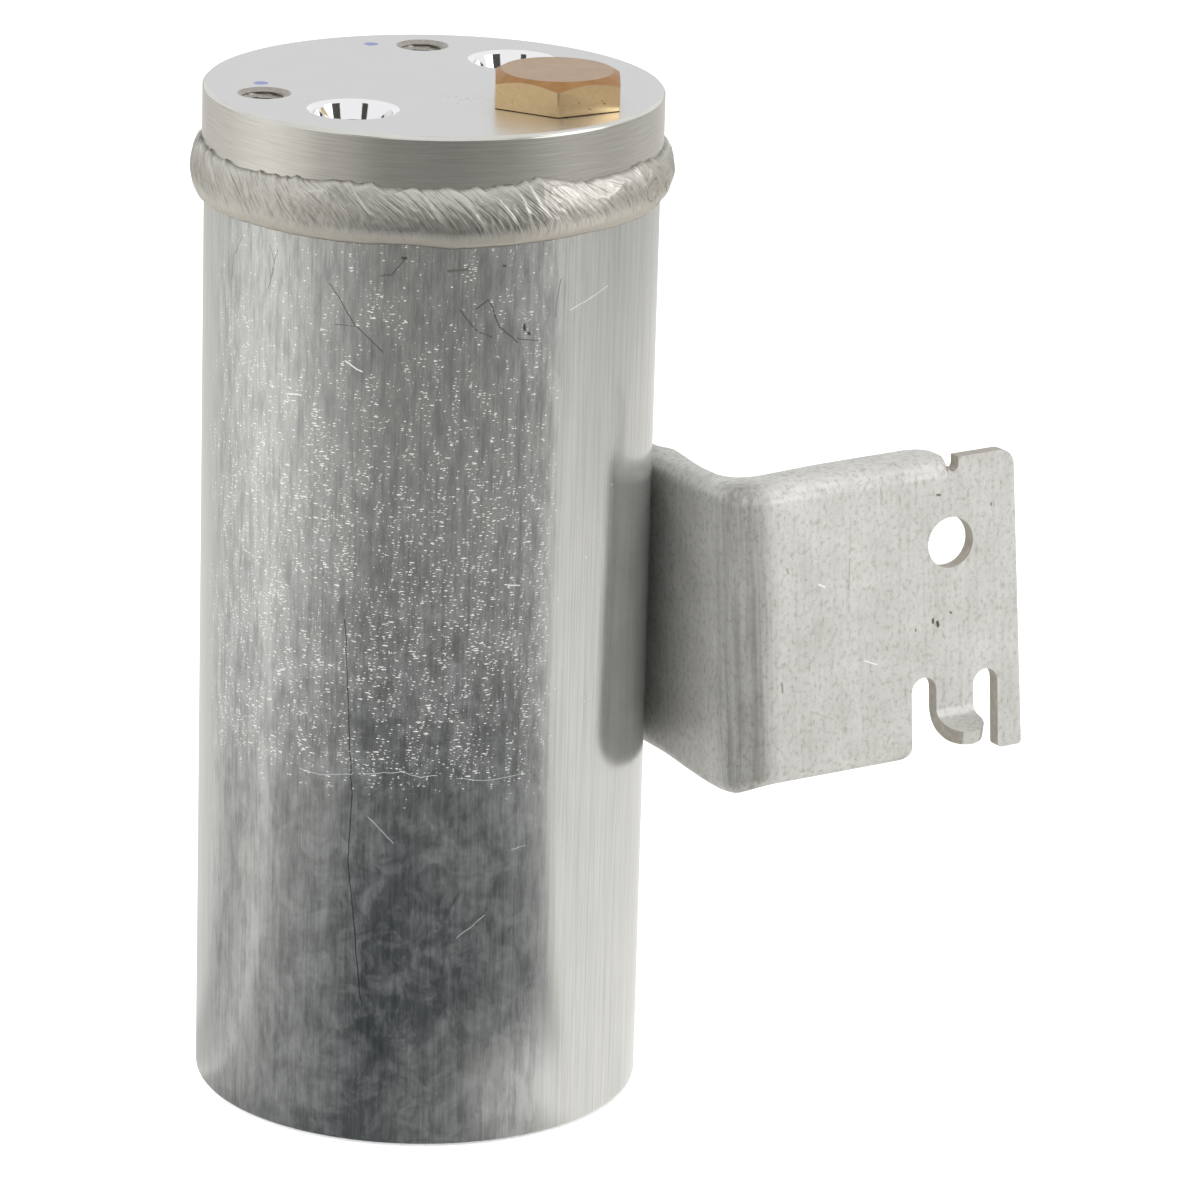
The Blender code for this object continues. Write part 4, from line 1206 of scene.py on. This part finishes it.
# The foot is dressed to the can, so near it each point keeps its distance from the can's axis.
def sheetPoint(station, depth, height):
    place, normal = sheetPath(station)
    point = place + normal * depth
    point.z = height
    seated = 1.0 - smoothStep(station / bracket["footBlend"])
    if seated > 0.0:
        wanted = (point - canAxis).xy.length
        leaned = toWorld @ (point * mm)
        scale = 1.0 + seated * (wanted * mm / leaned.xy.length - 1.0)
        point = toBracket @ Vector((leaned.x * scale, leaned.y * scale, leaned.z)) / mm
    return point * mm


def roundedEnd(width, distance):
    least, corner = bracket["flangeBend"] + 0.2, bracket["flangeEnd"]
    if distance < corner:
        width -= corner - math.sqrt(max(corner**2 - (corner - distance) ** 2, 0.0))
    return max(width, least)


def plateStation(x):
    return plateStart + x - bracket["bend"]


def upperFlange(station):
    width = bracket["legFlange"]
    if station < bendStart:
        crest, crestWidth, rise, fall = bracket["legCrest"]
        share = smoothStep((station - crest) / rise + 1.0) * (1.0 - smoothStep((station - crest) / fall))
        return width + (crestWidth - width) * share
    growth = smoothStep((station - plateStart) / bracket["flangeGrowth"])
    width = bracket["plateRoot"] + (bracket["plateFlange"] - bracket["plateRoot"]) * growth
    return roundedEnd(width, plateStation(flangeStop) - station)


# A point of the upper flange's edge, which follows a wide fillet round the bend.
def flangeEdge(station, height):
    first = bracket["leg"] - bracket["plateRoot"] - bracket["fillet"][0]
    last = plateStation(bracket["legFlange"] + bracket["fillet"][1])
    if not first < station < last:
        return sheetPoint(station, upperFlange(station), height)
    share = (station - first) / (last - first)
    corner = Vector((bracket["legFlange"], bracket["plateRoot"], height))
    start = corner + Vector((0.0, bracket["fillet"][0], 0.0))
    end = corner + Vector((bracket["fillet"][1], 0.0, 0.0))
    return (start * (1.0 - share) ** 2 + corner * 2 * share * (1.0 - share) + end * share**2) * mm


def lowerFlange(station):
    growth = (station - bendStart) / (plateStart - bendStart)
    width = bracket["legFlange"] + (bracket["lowerFlange"] - bracket["legFlange"]) * smoothStep(growth)
    return roundedEnd(width, plateStation(lowerStop) - station)


# The lower edge hangs down towards the bend, where the flange is drawn round the corner.
def lowerEdge(station):
    lowest, drop, fall = bracket["cornerDrop"]
    share = smoothStep(station / lowest) * (1.0 - smoothStep((station - lowest) / fall))
    return bracket["low"] - drop * share


def sheetSection(station):
    outer, sheet = bracket["flangeBend"], bracket["sheet"]
    inner, high, low = outer - sheet, bracket["high"], lowerEdge(station)
    lower = lowerFlange(station)
    points = arc((outer, high - outer), outer, 90, 180, 8)
    points += arc((outer, low + outer), outer, 180, 270, 8)
    points += [(lower, low), (lower, low + sheet)]
    points += arc((outer, low + outer), inner, 270, 180, 4)
    points += arc((outer, high - outer), inner, 180, 90, 4)
    places = [sheetPoint(station, depth, height) for depth, height in points]
    return [flangeEdge(station, high)] + places + [flangeEdge(station, high - sheet)]


def plateOutline():
    low, high, outer = bracket["low"], bracket["high"], bracket["flangeBend"]
    slot, tongue = bracket["slot"] / 2, bracket["tongue"]
    slotMiddle = low + bracket["slotHeight"] - slot
    outerMiddle = low + bracket["outerSlotHeight"] - slot
    upperEnd = bracket["plate"] - bracket["plateEndSlant"]
    points = [(lowerStop - 1.5, high - outer - 0.3), (lowerStop - 1.5, low + outer)]
    points.append((lowerStop, low + outer))
    points += arc((lowerStop + slot, slotMiddle), slot, 180, 0, 20)
    points.append((tongueStart, low + bracket["tongueBend"]))
    points.append((tongueStart + tongue, low + bracket["tongueBend"]))
    points += arc((tongueStart + tongue + slot, outerMiddle), slot, 180, 0, 20)
    r = bracket["tineCorner"]
    points += arc((bracket["plate"] - bracket["tine"] + r, low + r), r, 180, 270, 6)
    points += arc((bracket["plate"] - r, low + r), r, 270, 360, 6)
    r = bracket["tabCorner"]
    points += arc((upperEnd - r, high - r), r, 0, 90, 10)
    r = bracket["notch"] / 2
    points.append((tabStart, high))
    points += arc((tabStart - r, high - bracket["notchDepth"] + r), r, 0, -180, 12)
    points.append((flangeStop, high - outer - 0.3))
    return points


def makeTongueTool(metal):
    half, inner = bracket["tongue"] / 2, bracket["tongueInner"]
    outer = inner + bracket["sheet"]
    middle, low = tongueStart + half, bracket["low"] + bracket["tongueBend"]
    straight = bracket["tongueReach"] - half
    stations = [(-1.0, 1.0, 0.0)] + [(0.0, 1.0, a) for a in spread(0.0, bracket["tongueAngle"], 12)]
    stations.append((straight, 1.0, bracket["tongueAngle"]))
    for angle in spread(7.0, 84.0, 11):
        turn = math.radians(angle)
        stations.append((straight + half * math.sin(turn), math.cos(turn), bracket["tongueAngle"]))
    rings = []
    for along, share, angle in stations:
        turn = math.radians(angle)
        ring = []
        for side, reach in ((-1, inner), (1, inner), (1, outer), (-1, outer)):
            y = -inner + math.cos(turn) * reach - math.sin(turn) * along
            z = low - math.sin(turn) * reach - math.cos(turn) * along
            ring.append(Vector((middle + side * half * share, y, z)) * mm)
        rings.append(ring)
    return newSolid("tongueTool", lofted(rings), metal)


# Rolled aluminium sheet, blanked and pressed: matt and faintly mottled, with painted shade at the bend.
def makeSheetFinish():
    material = newMaterial("Pressed aluminium sheet", "#c8c7c3", 0.55, 0.42)
    coords = addNode(material, "ShaderNodeTexCoord").node.outputs["Object"]
    own = addNode(
        material,
        "ShaderNodeMapping",
        {"vector_type": "TEXTURE", "Location": toWorld.translation, "Rotation": toWorld.to_euler()},
        {"Vector": coords},
    )
    rolled = addNode(
        material,
        "ShaderNodeTexNoise",
        {"Scale": 1500.0, "Detail": 5.0, "Roughness": 0.7},
        {"Vector": addNode(material, "ShaderNodeMapping", {"Scale": (1, 1, 0.7)}, {"Vector": own})},
    )
    cloud = addNode(
        material, "ShaderNodeTexNoise", {"Scale": 150.0, "Detail": 8.0, "Roughness": 0.7}, {"Vector": own}
    )
    brushed = addNode(
        material,
        "ShaderNodeTexNoise",
        {"Scale": 1300.0, "Detail": 4.0, "Roughness": 0.65},
        {"Vector": addNode(material, "ShaderNodeMapping", {"Scale": (1, 1, 0.04)}, {"Vector": own})},
    )
    clean = addNode(
        material,
        "ShaderNodeMix",
        {"data_type": "RGBA", 6: linear("#b5b4af"), 7: linear("#cdccc9")},
        {0: addNode(material, "ShaderNodeMapRange", {"From Min": 0.25, "From Max": 0.75}, {"Value": cloud})},
    )
    lined = addNode(
        material,
        "ShaderNodeMix",
        {"data_type": "RGBA", "blend_type": "MULTIPLY", 7: linear("#c9c8c3")},
        {0: addNode(
            material,
            "ShaderNodeMapRange",
            {"From Min": 0.45, "From Max": 0.75, "To Min": 0.0, "To Max": 0.32},
            {"Value": brushed},
        ), 6: clean},
    )
    lined = addNode(
        material,
        "ShaderNodeMix",
        {"data_type": "RGBA", "blend_type": "MULTIPLY", 7: linear("#cbcac4")},
        {0: addNode(
            material,
            "ShaderNodeMapRange",
            {"From Min": 0.5, "From Max": 0.66, "To Min": 0.0, "To Max": 0.7},
            {"Value": rolled},
        ), 6: lined},
    )
    # Painted shade: near the bend, over its whole height, the colour is darkened to a mottled grey.
    places = addNode(material, "ShaderNodeSeparateXYZ", {}, {"Vector": own}).node.outputs
    bendShade = brushed
    for side in ("X", "Y"):
        reach = addNode(
            material,
            "ShaderNodeMapRange",
            {"From Min": bracket["bend"] * 1.3 * mm, "From Max": bracket["bend"] * 0.6 * mm},
            {"Value": places[side]},
        )
        bendShade = addNode(material, "ShaderNodeMath", {"operation": "MULTIPLY"}, {0: bendShade, 1: reach})
    colour = addNode(
        material, "ShaderNodeMix", {"data_type": "RGBA", 7: linear("#6c6b64")}, {0: bendShade, 6: lined}
    )
    flat = addNode(material, "ShaderNodeCombineXYZ", {}, {"X": places["X"], "Y": places["Z"]})
    face = shaken(material, flat, 0.25)
    depth = addNode(
        material,
        "ShaderNodeMapRange",
        {"From Min": 0.5 * mm, "From Max": 0.2 * mm, "To Min": 0.0, "To Max": 1.0},
        {"Value": places["Y"]},
    )
    for width, shade, points in bracket["marks"]:
        mark = markMask(material, face, [Vector((x, z, 0.0)) * mm for x, z in points], width)
        mark = addNode(material, "ShaderNodeMath", {"operation": "MULTIPLY"}, {0: mark, 1: depth})
        colour = addNode(
            material, "ShaderNodeMix", {"data_type": "RGBA", 7: linear(shade)}, {0: mark, 6: colour}
        )
    raised = addNode(
        material, "ShaderNodeMath", {"operation": "MULTIPLY_ADD", 1: 1.5}, {0: cloud, 2: rolled}
    )
    raised = addNode(
        material, "ShaderNodeMath", {"operation": "MULTIPLY_ADD", 1: 0.35}, {0: brushed, 2: raised}
    )
    relief = addNode(
        material, "ShaderNodeBump", {"Strength": 0.6, "Distance": 0.03 * mm}, {"Height": raised}
    )
    roughness = addNode(
        material,
        "ShaderNodeMapRange",
        {"From Min": 0.3, "From Max": 0.7, "To Min": 0.36, "To Max": 0.5},
        {"Value": rolled},
    )
    plug(material, Base_Color=colour, Roughness=roughness, Normal=relief)
    return material


# Where the sheet was sheared and pierced, its edge is rough and greyish brown.
def makeShearedFinish():
    material = newMaterial("Sheared aluminium", "#a39d92", 0.6, 0.5)
    coords = addNode(material, "ShaderNodeTexCoord").node.outputs["Object"]
    torn = addNode(
        material,
        "ShaderNodeTexNoise",
        {"Scale": 1100.0, "Detail": 5.0, "Roughness": 0.7},
        {"Vector": coords},
    )
    colour = addNode(
        material,
        "ShaderNodeMix",
        {"data_type": "RGBA", 6: linear("#7c766b"), 7: linear("#bdb8ae")},
        {0: torn},
    )
    relief = addNode(
        material, "ShaderNodeBump", {"Strength": 0.6, "Distance": 0.05 * mm}, {"Height": torn}
    )
    plug(material, Base_Color=colour, Normal=relief)
    return material


def makeBracket():
    metal = makeSheetFinish()
    stations = spread(-bracket["foot"], 0.0, 44) + spread(0.0, bendStart, 28)[1:]
    stations += spread(bendStart, plateStart, 20)[1:]
    stations += spread(plateStart, plateStart + bracket["flangeGrowth"], 12)[1:]
    for end in (plateStation(lowerStop), plateStation(flangeStop)):
        stations += [end - bracket["flangeEnd"] * (1.0 - math.sin(math.pi / 2 * i / 8)) for i in range(9)]
    piece = newSolid("pressedBracket", lofted([sheetSection(s) for s in stations]), metal)
    low, r = bracket["low"], bracket["slotCorner"]
    middle = (low + bracket["high"]) / 2
    outline = [(lowerStop - r, low - 2.0)] + arc((lowerStop - r, low + r), r, -90, 0, 12)
    outline += [(lowerStop, middle), (bracket["plate"] + 2, middle), (bracket["plate"] + 2, low - 2.0)]
    carve(piece, newSolid("lowerEndTool", plateFrom(outline, -2.0, bracket["plateFlange"] + 2.0), metal))
    carve(piece, newSolid("plateTool", plateFrom(plateOutline(), 0.0, bracket["sheet"]), metal), "UNION")
    carve(piece, makeTongueTool(metal), "UNION")
    centre = (bracket["plate"] - bracket["holeFromEnd"], bracket["high"] - bracket["holeFromTop"])
    ring = arc(centre, bracket["hole"] / 2, 0, 360, 96)[:-1]
    carve(piece, newSolid("holeTool", plateFrom(ring, -2.0, bracket["sheet"] + 2.0), metal))
    bm = bmesh.new()
    bm.from_mesh(piece.data)
    bmesh.ops.triangulate(bm, faces=[face for face in bm.faces if len(face.verts) > 4])
    bmesh.ops.remove_doubles(bm, verts=bm.verts, dist=0.002 * mm)
    bm.to_mesh(piece.data)
    bm.free()
    piece.data.materials.append(makeShearedFinish())
    for polygon in piece.data.polygons:
        x, depth, z = polygon.center / mm
        through = 0.05 < depth < bracket["sheet"] - 0.05 and abs(polygon.normal.y) < 0.3
        flange = bracket["flangeBend"]
        rolled = x < flangeStop - 0.2 and not low + flange < z < bracket["high"] - flange
        besideTongue = tongueStart - 0.1 < x < tongueStart + bracket["tongue"] + 0.1
        tongueSide = besideTongue and abs(polygon.normal.x) > 0.4 and z < low + bracket["tongueBend"]
        if x > 3 * bracket["bend"] and (through and not rolled or tongueSide):
            polygon.material_index = 1
    piece.data.transform(toWorld)
    finishPiece(piece, "bracket", "bracket", smoothAngle=32.0)


makeBracket()

footBead = {"radius": 1.3, "margin": 4.0, "pitch": 1.5, "rings": 150, "sides": 20}


def beadRing(centre, size, phase):
    ring = []
    for x, y in arc((0.0, 0.0), 1.0, 0, 360, footBead["sides"])[:-1]:
        swell = size * (1.0 + 0.12 * (scaleTooth(phase + 0.25 * x) - 0.3))
        ring.append((centre[0] + x * swell, centre[1] + y * swell))
    return ring


def makeFootBeads(weldFinish):
    radius, outer = footBead["radius"], bracket["flangeBend"]
    lift = math.sqrt((outer + radius + 0.1) ** 2 - (outer - radius) ** 2)
    heights = {
        "upper": bracket["high"] - outer + lift,
        "lower": bracket["low"] + outer - lift,
    }
    for name, height in heights.items():
        rings = []
        start, end = footBead["margin"] - bracket["foot"], -footBead["margin"]
        for station in spread(start, end, footBead["rings"]):
            away = min(station - start, end - station) / (2 * radius)
            size = radius * math.sqrt(min(max(away, 0.1), 1.0)) * 1.12
            ring = beadRing((radius - 0.1, height), size, station / footBead["pitch"])
            rings.append([sheetPoint(station, depth, z) for depth, z in ring])
        addFootBead(name, rings, weldFinish)
    low, high = bracket["low"] + outer + footBead["margin"], bracket["high"] - outer - footBead["margin"]
    rings = []
    for height in spread(low, high, footBead["rings"]):
        away = min(height - low, high - height) / (2 * radius)
        size = radius * math.sqrt(min(max(away, 0.1), 1.0)) * 1.12
        ring = beadRing((-bracket["foot"] - radius, radius - 0.1), size, height / footBead["pitch"])
        rings.append([sheetPoint(along, depth, height) for along, depth in ring])
    addFootBead("end", rings, weldFinish)


def addFootBead(name, rings, weldFinish):
    piece = newSolid("footBead" + name.title(), lofted(rings), weldFinish)
    piece.data.transform(toWorld)
    finishPiece(piece, "weld", "bracket_weld_" + name, smoothAngle=60.0)


makeFootBeads(bpy.data.materials["Arc-welded aluminium"])


# Parts inside the can keep their solids and get the finish that each would have.
def makeHiddenFinish(name, dark, light, metallic, roughness, grainSize):
    material = newMaterial(name, light, metallic, roughness)
    coords = addNode(material, "ShaderNodeTexCoord").node.outputs["Object"]
    grain = addNode(
        material, "ShaderNodeTexNoise", {"Scale": 1 / (grainSize * mm), "Detail": 4.0}, {"Vector": coords}
    )
    colour = addNode(
        material, "ShaderNodeMix", {"data_type": "RGBA", 6: linear(dark), 7: linear(light)}, {0: grain}
    )
    relief = addNode(
        material, "ShaderNodeBump", {"Strength": 0.5, "Distance": 0.1 * grainSize * mm}, {"Height": grain}
    )
    plug(material, Base_Color=colour, Normal=relief)
    return material


hiddenFinishes = {
    "Zinc-plated steel": (
        ("#8f9193", "#b4b6b8", 1.0, 0.35, 0.8),
        ("plate_stand", "lower_plate", "upper_plate", "spring_seat", "spring", "tube_strainer"),
    ),
    "Needled felt": (("#c9c3b4", "#e4dfd2", 0.0, 0.95, 0.4), ("lower_pad", "upper_pad")),
    "Molecular sieve beads": (("#a8916f", "#cdb894", 0.0, 0.9, 1.8), ("desiccant_bed",)),
    "Drawn aluminium pipe": (("#b4b5b5", "#d2d3d3", 1.0, 0.3, 0.6), ("pickup_tube",)),
    "Nitrile rubber": (("#0f0f10", "#232324", 0.0, 0.55, 0.3), ("plug_seal",)),
}
for finishName, (look, nodes) in hiddenFinishes.items():
    finish = makeHiddenFinish(finishName, *look)
    for node in nodes:
        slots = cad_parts[node].material_slots
        if not slots:
            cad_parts[node].data.materials.append(finish)
        for slot in slots:
            slot.material = finish
print("Hidden parts finished")

studio = {
    "floorColour": "#f2f2f2",
    "floorGlow": 0.3,  # added where the floor is seen, so that it is white
    "skyStrength": 1.0,
    "keyPlace": (-590, -945, 560),
    "keySize": (900, 1300),
    "keyPower": 13.5,
    "fillPlace": (950, -340, 500),
    "fillSize": (900, 1100),
    "fillPower": 4.5,
    "flagHeight": 0.3,
    "flagRadii": (29.2, 33, 40, 50, 60, 80, 100, 130, 160, 200, 240, 280, 330, 380, 440, 520, 700, 1000, 1600),
    "flagReach": (45.0, 75.0, 420.0, 520.0),  # where the four tones of the table below are met
    "wallHeight": 260.0,
    "flagDark": ("#16242e", "#2b2a26"),  # near the object and far from it
    "flagDarkReach": (150.0, 400.0),
    "flagLight": "#fffdf8",
    # Azimuth, then how light the flags are at the object's foot, near it, far from it and at their end.
    "flagTones": (
        (-180, 0.60, 0.56, 1.00, 1.00),
        (-169, 0.70, 0.76, 1.00, 0.95),
        (-163, 0.48, 0.42, 0.92, 0.84),
        (-140, 0.28, 0.27, 0.64, 0.52),
        (-110, 0.10, 0.07, 0.42, 0.25),
        (-80, 0.18, 0.08, 0.42, 0.22),
        (-58, 0.60, 0.12, 0.42, 0.28),
        (-40, 1.00, 0.24, 0.46, 0.36),
        (-31, 1.00, 0.42, 0.55, 0.40),
        (-24, 1.00, 1.00, 0.80, 0.44),
        (0, 1.00, 1.00, 0.76, 0.46),
        (40, 0.95, 0.95, 0.80, 0.62),
        (80, 0.95, 0.95, 0.90, 0.72),
        (120, 0.76, 0.84, 0.76, 0.66),
        (150, 0.76, 0.80, 0.76, 0.76),
        (168, 0.58, 0.50, 0.96, 0.92),
        (180, 0.60, 0.60, 1.00, 1.00),
    ),
    # Upright dark cards: azimuth, half width, lowest and highest elevation.
    "cards": ((-126, 9, 10, 45), (-36, 13, 10, 45)),
    "cardRadius": 800.0,
    "cardTone": 0.05,
}


def flagColour(tone, radius):
    near, far = studio["flagDarkReach"]
    share = smoothStep((radius - near) / (far - near))
    dark = [low + (high - low) * share for low, high in zip(*[linear(c) for c in studio["flagDark"]])]
    return [low + (high - low) * tone for low, high in zip(dark, linear(studio["flagLight"]))]


def flagTone(azimuth, radius):
    tones = graded(studio["flagTones"], azimuth)
    return graded(list(zip(studio["flagReach"], tones)), max(radius, studio["flagReach"][0]))[0]


# Glowing cards laid out round the object, seen only in its metal: their grey and white bands are painted
# reflections.
def makeFlags():
    height = studio["flagHeight"]
    profile = [(radius, height) for radius in studio["flagRadii"]]
    profile.append((profile[-1][0], studio["wallHeight"]))
    bm = bmesh.new()
    verts = [bm.verts.new((-radius * mm, 0.0, z * mm)) for radius, z in profile]
    edges = [bm.edges.new(pair) for pair in zip(verts, verts[1:])]
    bmesh.ops.spin(
        bm, geom=verts + edges, cent=(0, 0, 0), axis=(0, 0, 1), angle=math.tau, steps=120, use_merge=True
    )
    tint = bm.verts.layers.float_color.new("tint")
    for vert in bm.verts:
        radius = vert.co.xy.length / mm
        vert[tint] = flagColour(flagTone(math.degrees(math.atan2(vert.co.y, vert.co.x)), radius), radius)
    for azimuth, half, low, high in studio["cards"]:
        corners = []
        for turn, lift in ((-half, low), (half, low), (half, high), (-half, high)):
            angle, radius = math.radians(azimuth + turn), studio["cardRadius"] * mm
            top = radius * math.tan(math.radians(lift)) + head["top"] * mm
            corners.append(bm.verts.new((radius * math.cos(angle), radius * math.sin(angle), top)))
            corners[-1][tint] = flagColour(studio["cardTone"], studio["cardRadius"])
        bm.faces.new(corners)
    card = newMaterial("Graded card", "#000000", 0.0, 1.0)
    # The cards glow with their tint: painted reflections, not lamps.
    shade = addNode(card, "ShaderNodeAttribute", {"attribute_name": "tint"}).node.outputs["Color"]
    plug(card, Emission_Color=shade)
    shader = card.node_tree.nodes["Principled BSDF"]
    shader.inputs["Emission Strength"].default_value = 1.0
    shader.inputs["Specular IOR Level"].default_value = 0.0
    flags = newSolid("studioFlags", bm, card)
    flags.visible_camera = flags.visible_diffuse = False
    flags.visible_transmission = flags.visible_shadow = False


def makeFloor():
    paint = newMaterial("Matt white floor", studio["floorColour"], 0.0, 0.8)
    path = addNode(paint, "ShaderNodeLightPath").node.outputs
    seen = path["Is Camera Ray"]
    for ray in ("Is Glossy Ray", "Is Transmission Ray"):
        seen = addNode(paint, "ShaderNodeMath", {"operation": "MAXIMUM"}, {0: seen, 1: path[ray]})
    glow = addNode(paint, "ShaderNodeMath", {"operation": "MULTIPLY", 1: studio["floorGlow"]}, {0: seen})
    shader = paint.node_tree.nodes["Principled BSDF"]
    shader.inputs["Emission Color"].default_value = (1, 1, 1, 1)
    paint.node_tree.links.new(glow, shader.inputs["Emission Strength"])
    bm = bmesh.new()
    bmesh.ops.create_grid(bm, x_segments=1, y_segments=1, size=6.0)
    bmesh.ops.translate(bm, verts=bm.verts, vec=(0, 0, -0.2 * mm))
    newSolid("studioFloor", bm, paint)


def makeStudio():
    makeFloor()
    makeFlags()
    world = bpy.data.worlds.new("studioWorld")
    bpy.context.scene.world = world
    world.use_nodes = True
    sky = world.node_tree.nodes["Background"]
    sky.inputs["Strength"].default_value = studio["skyStrength"]
    sky.inputs["Color"].default_value = (1, 1, 1, 1)
    for name in ("key", "fill"):
        lamp = bpy.data.lights.new(name + "Light", "AREA")
        lamp.shape = "RECTANGLE"
        lamp.size, lamp.size_y = [size * mm for size in studio[name + "Size"]]
        lamp.energy = studio[name + "Power"]
        holder = bpy.data.objects.new(name + "Light", lamp)
        place = Vector(studio[name + "Place"]) * mm
        holder.location = place
        holder.rotation_mode = "QUATERNION"
        holder.rotation_quaternion = (place - Vector((0, 0, 0.07))).to_track_quat("Z", "Y")
        holder.visible_glossy = name == "fill"  # the metal shows no block of light on its left
        bpy.context.scene.collection.objects.link(holder)
    bpy.context.scene.view_settings.view_transform = "Standard"


makeStudio()
print("Studio lit")
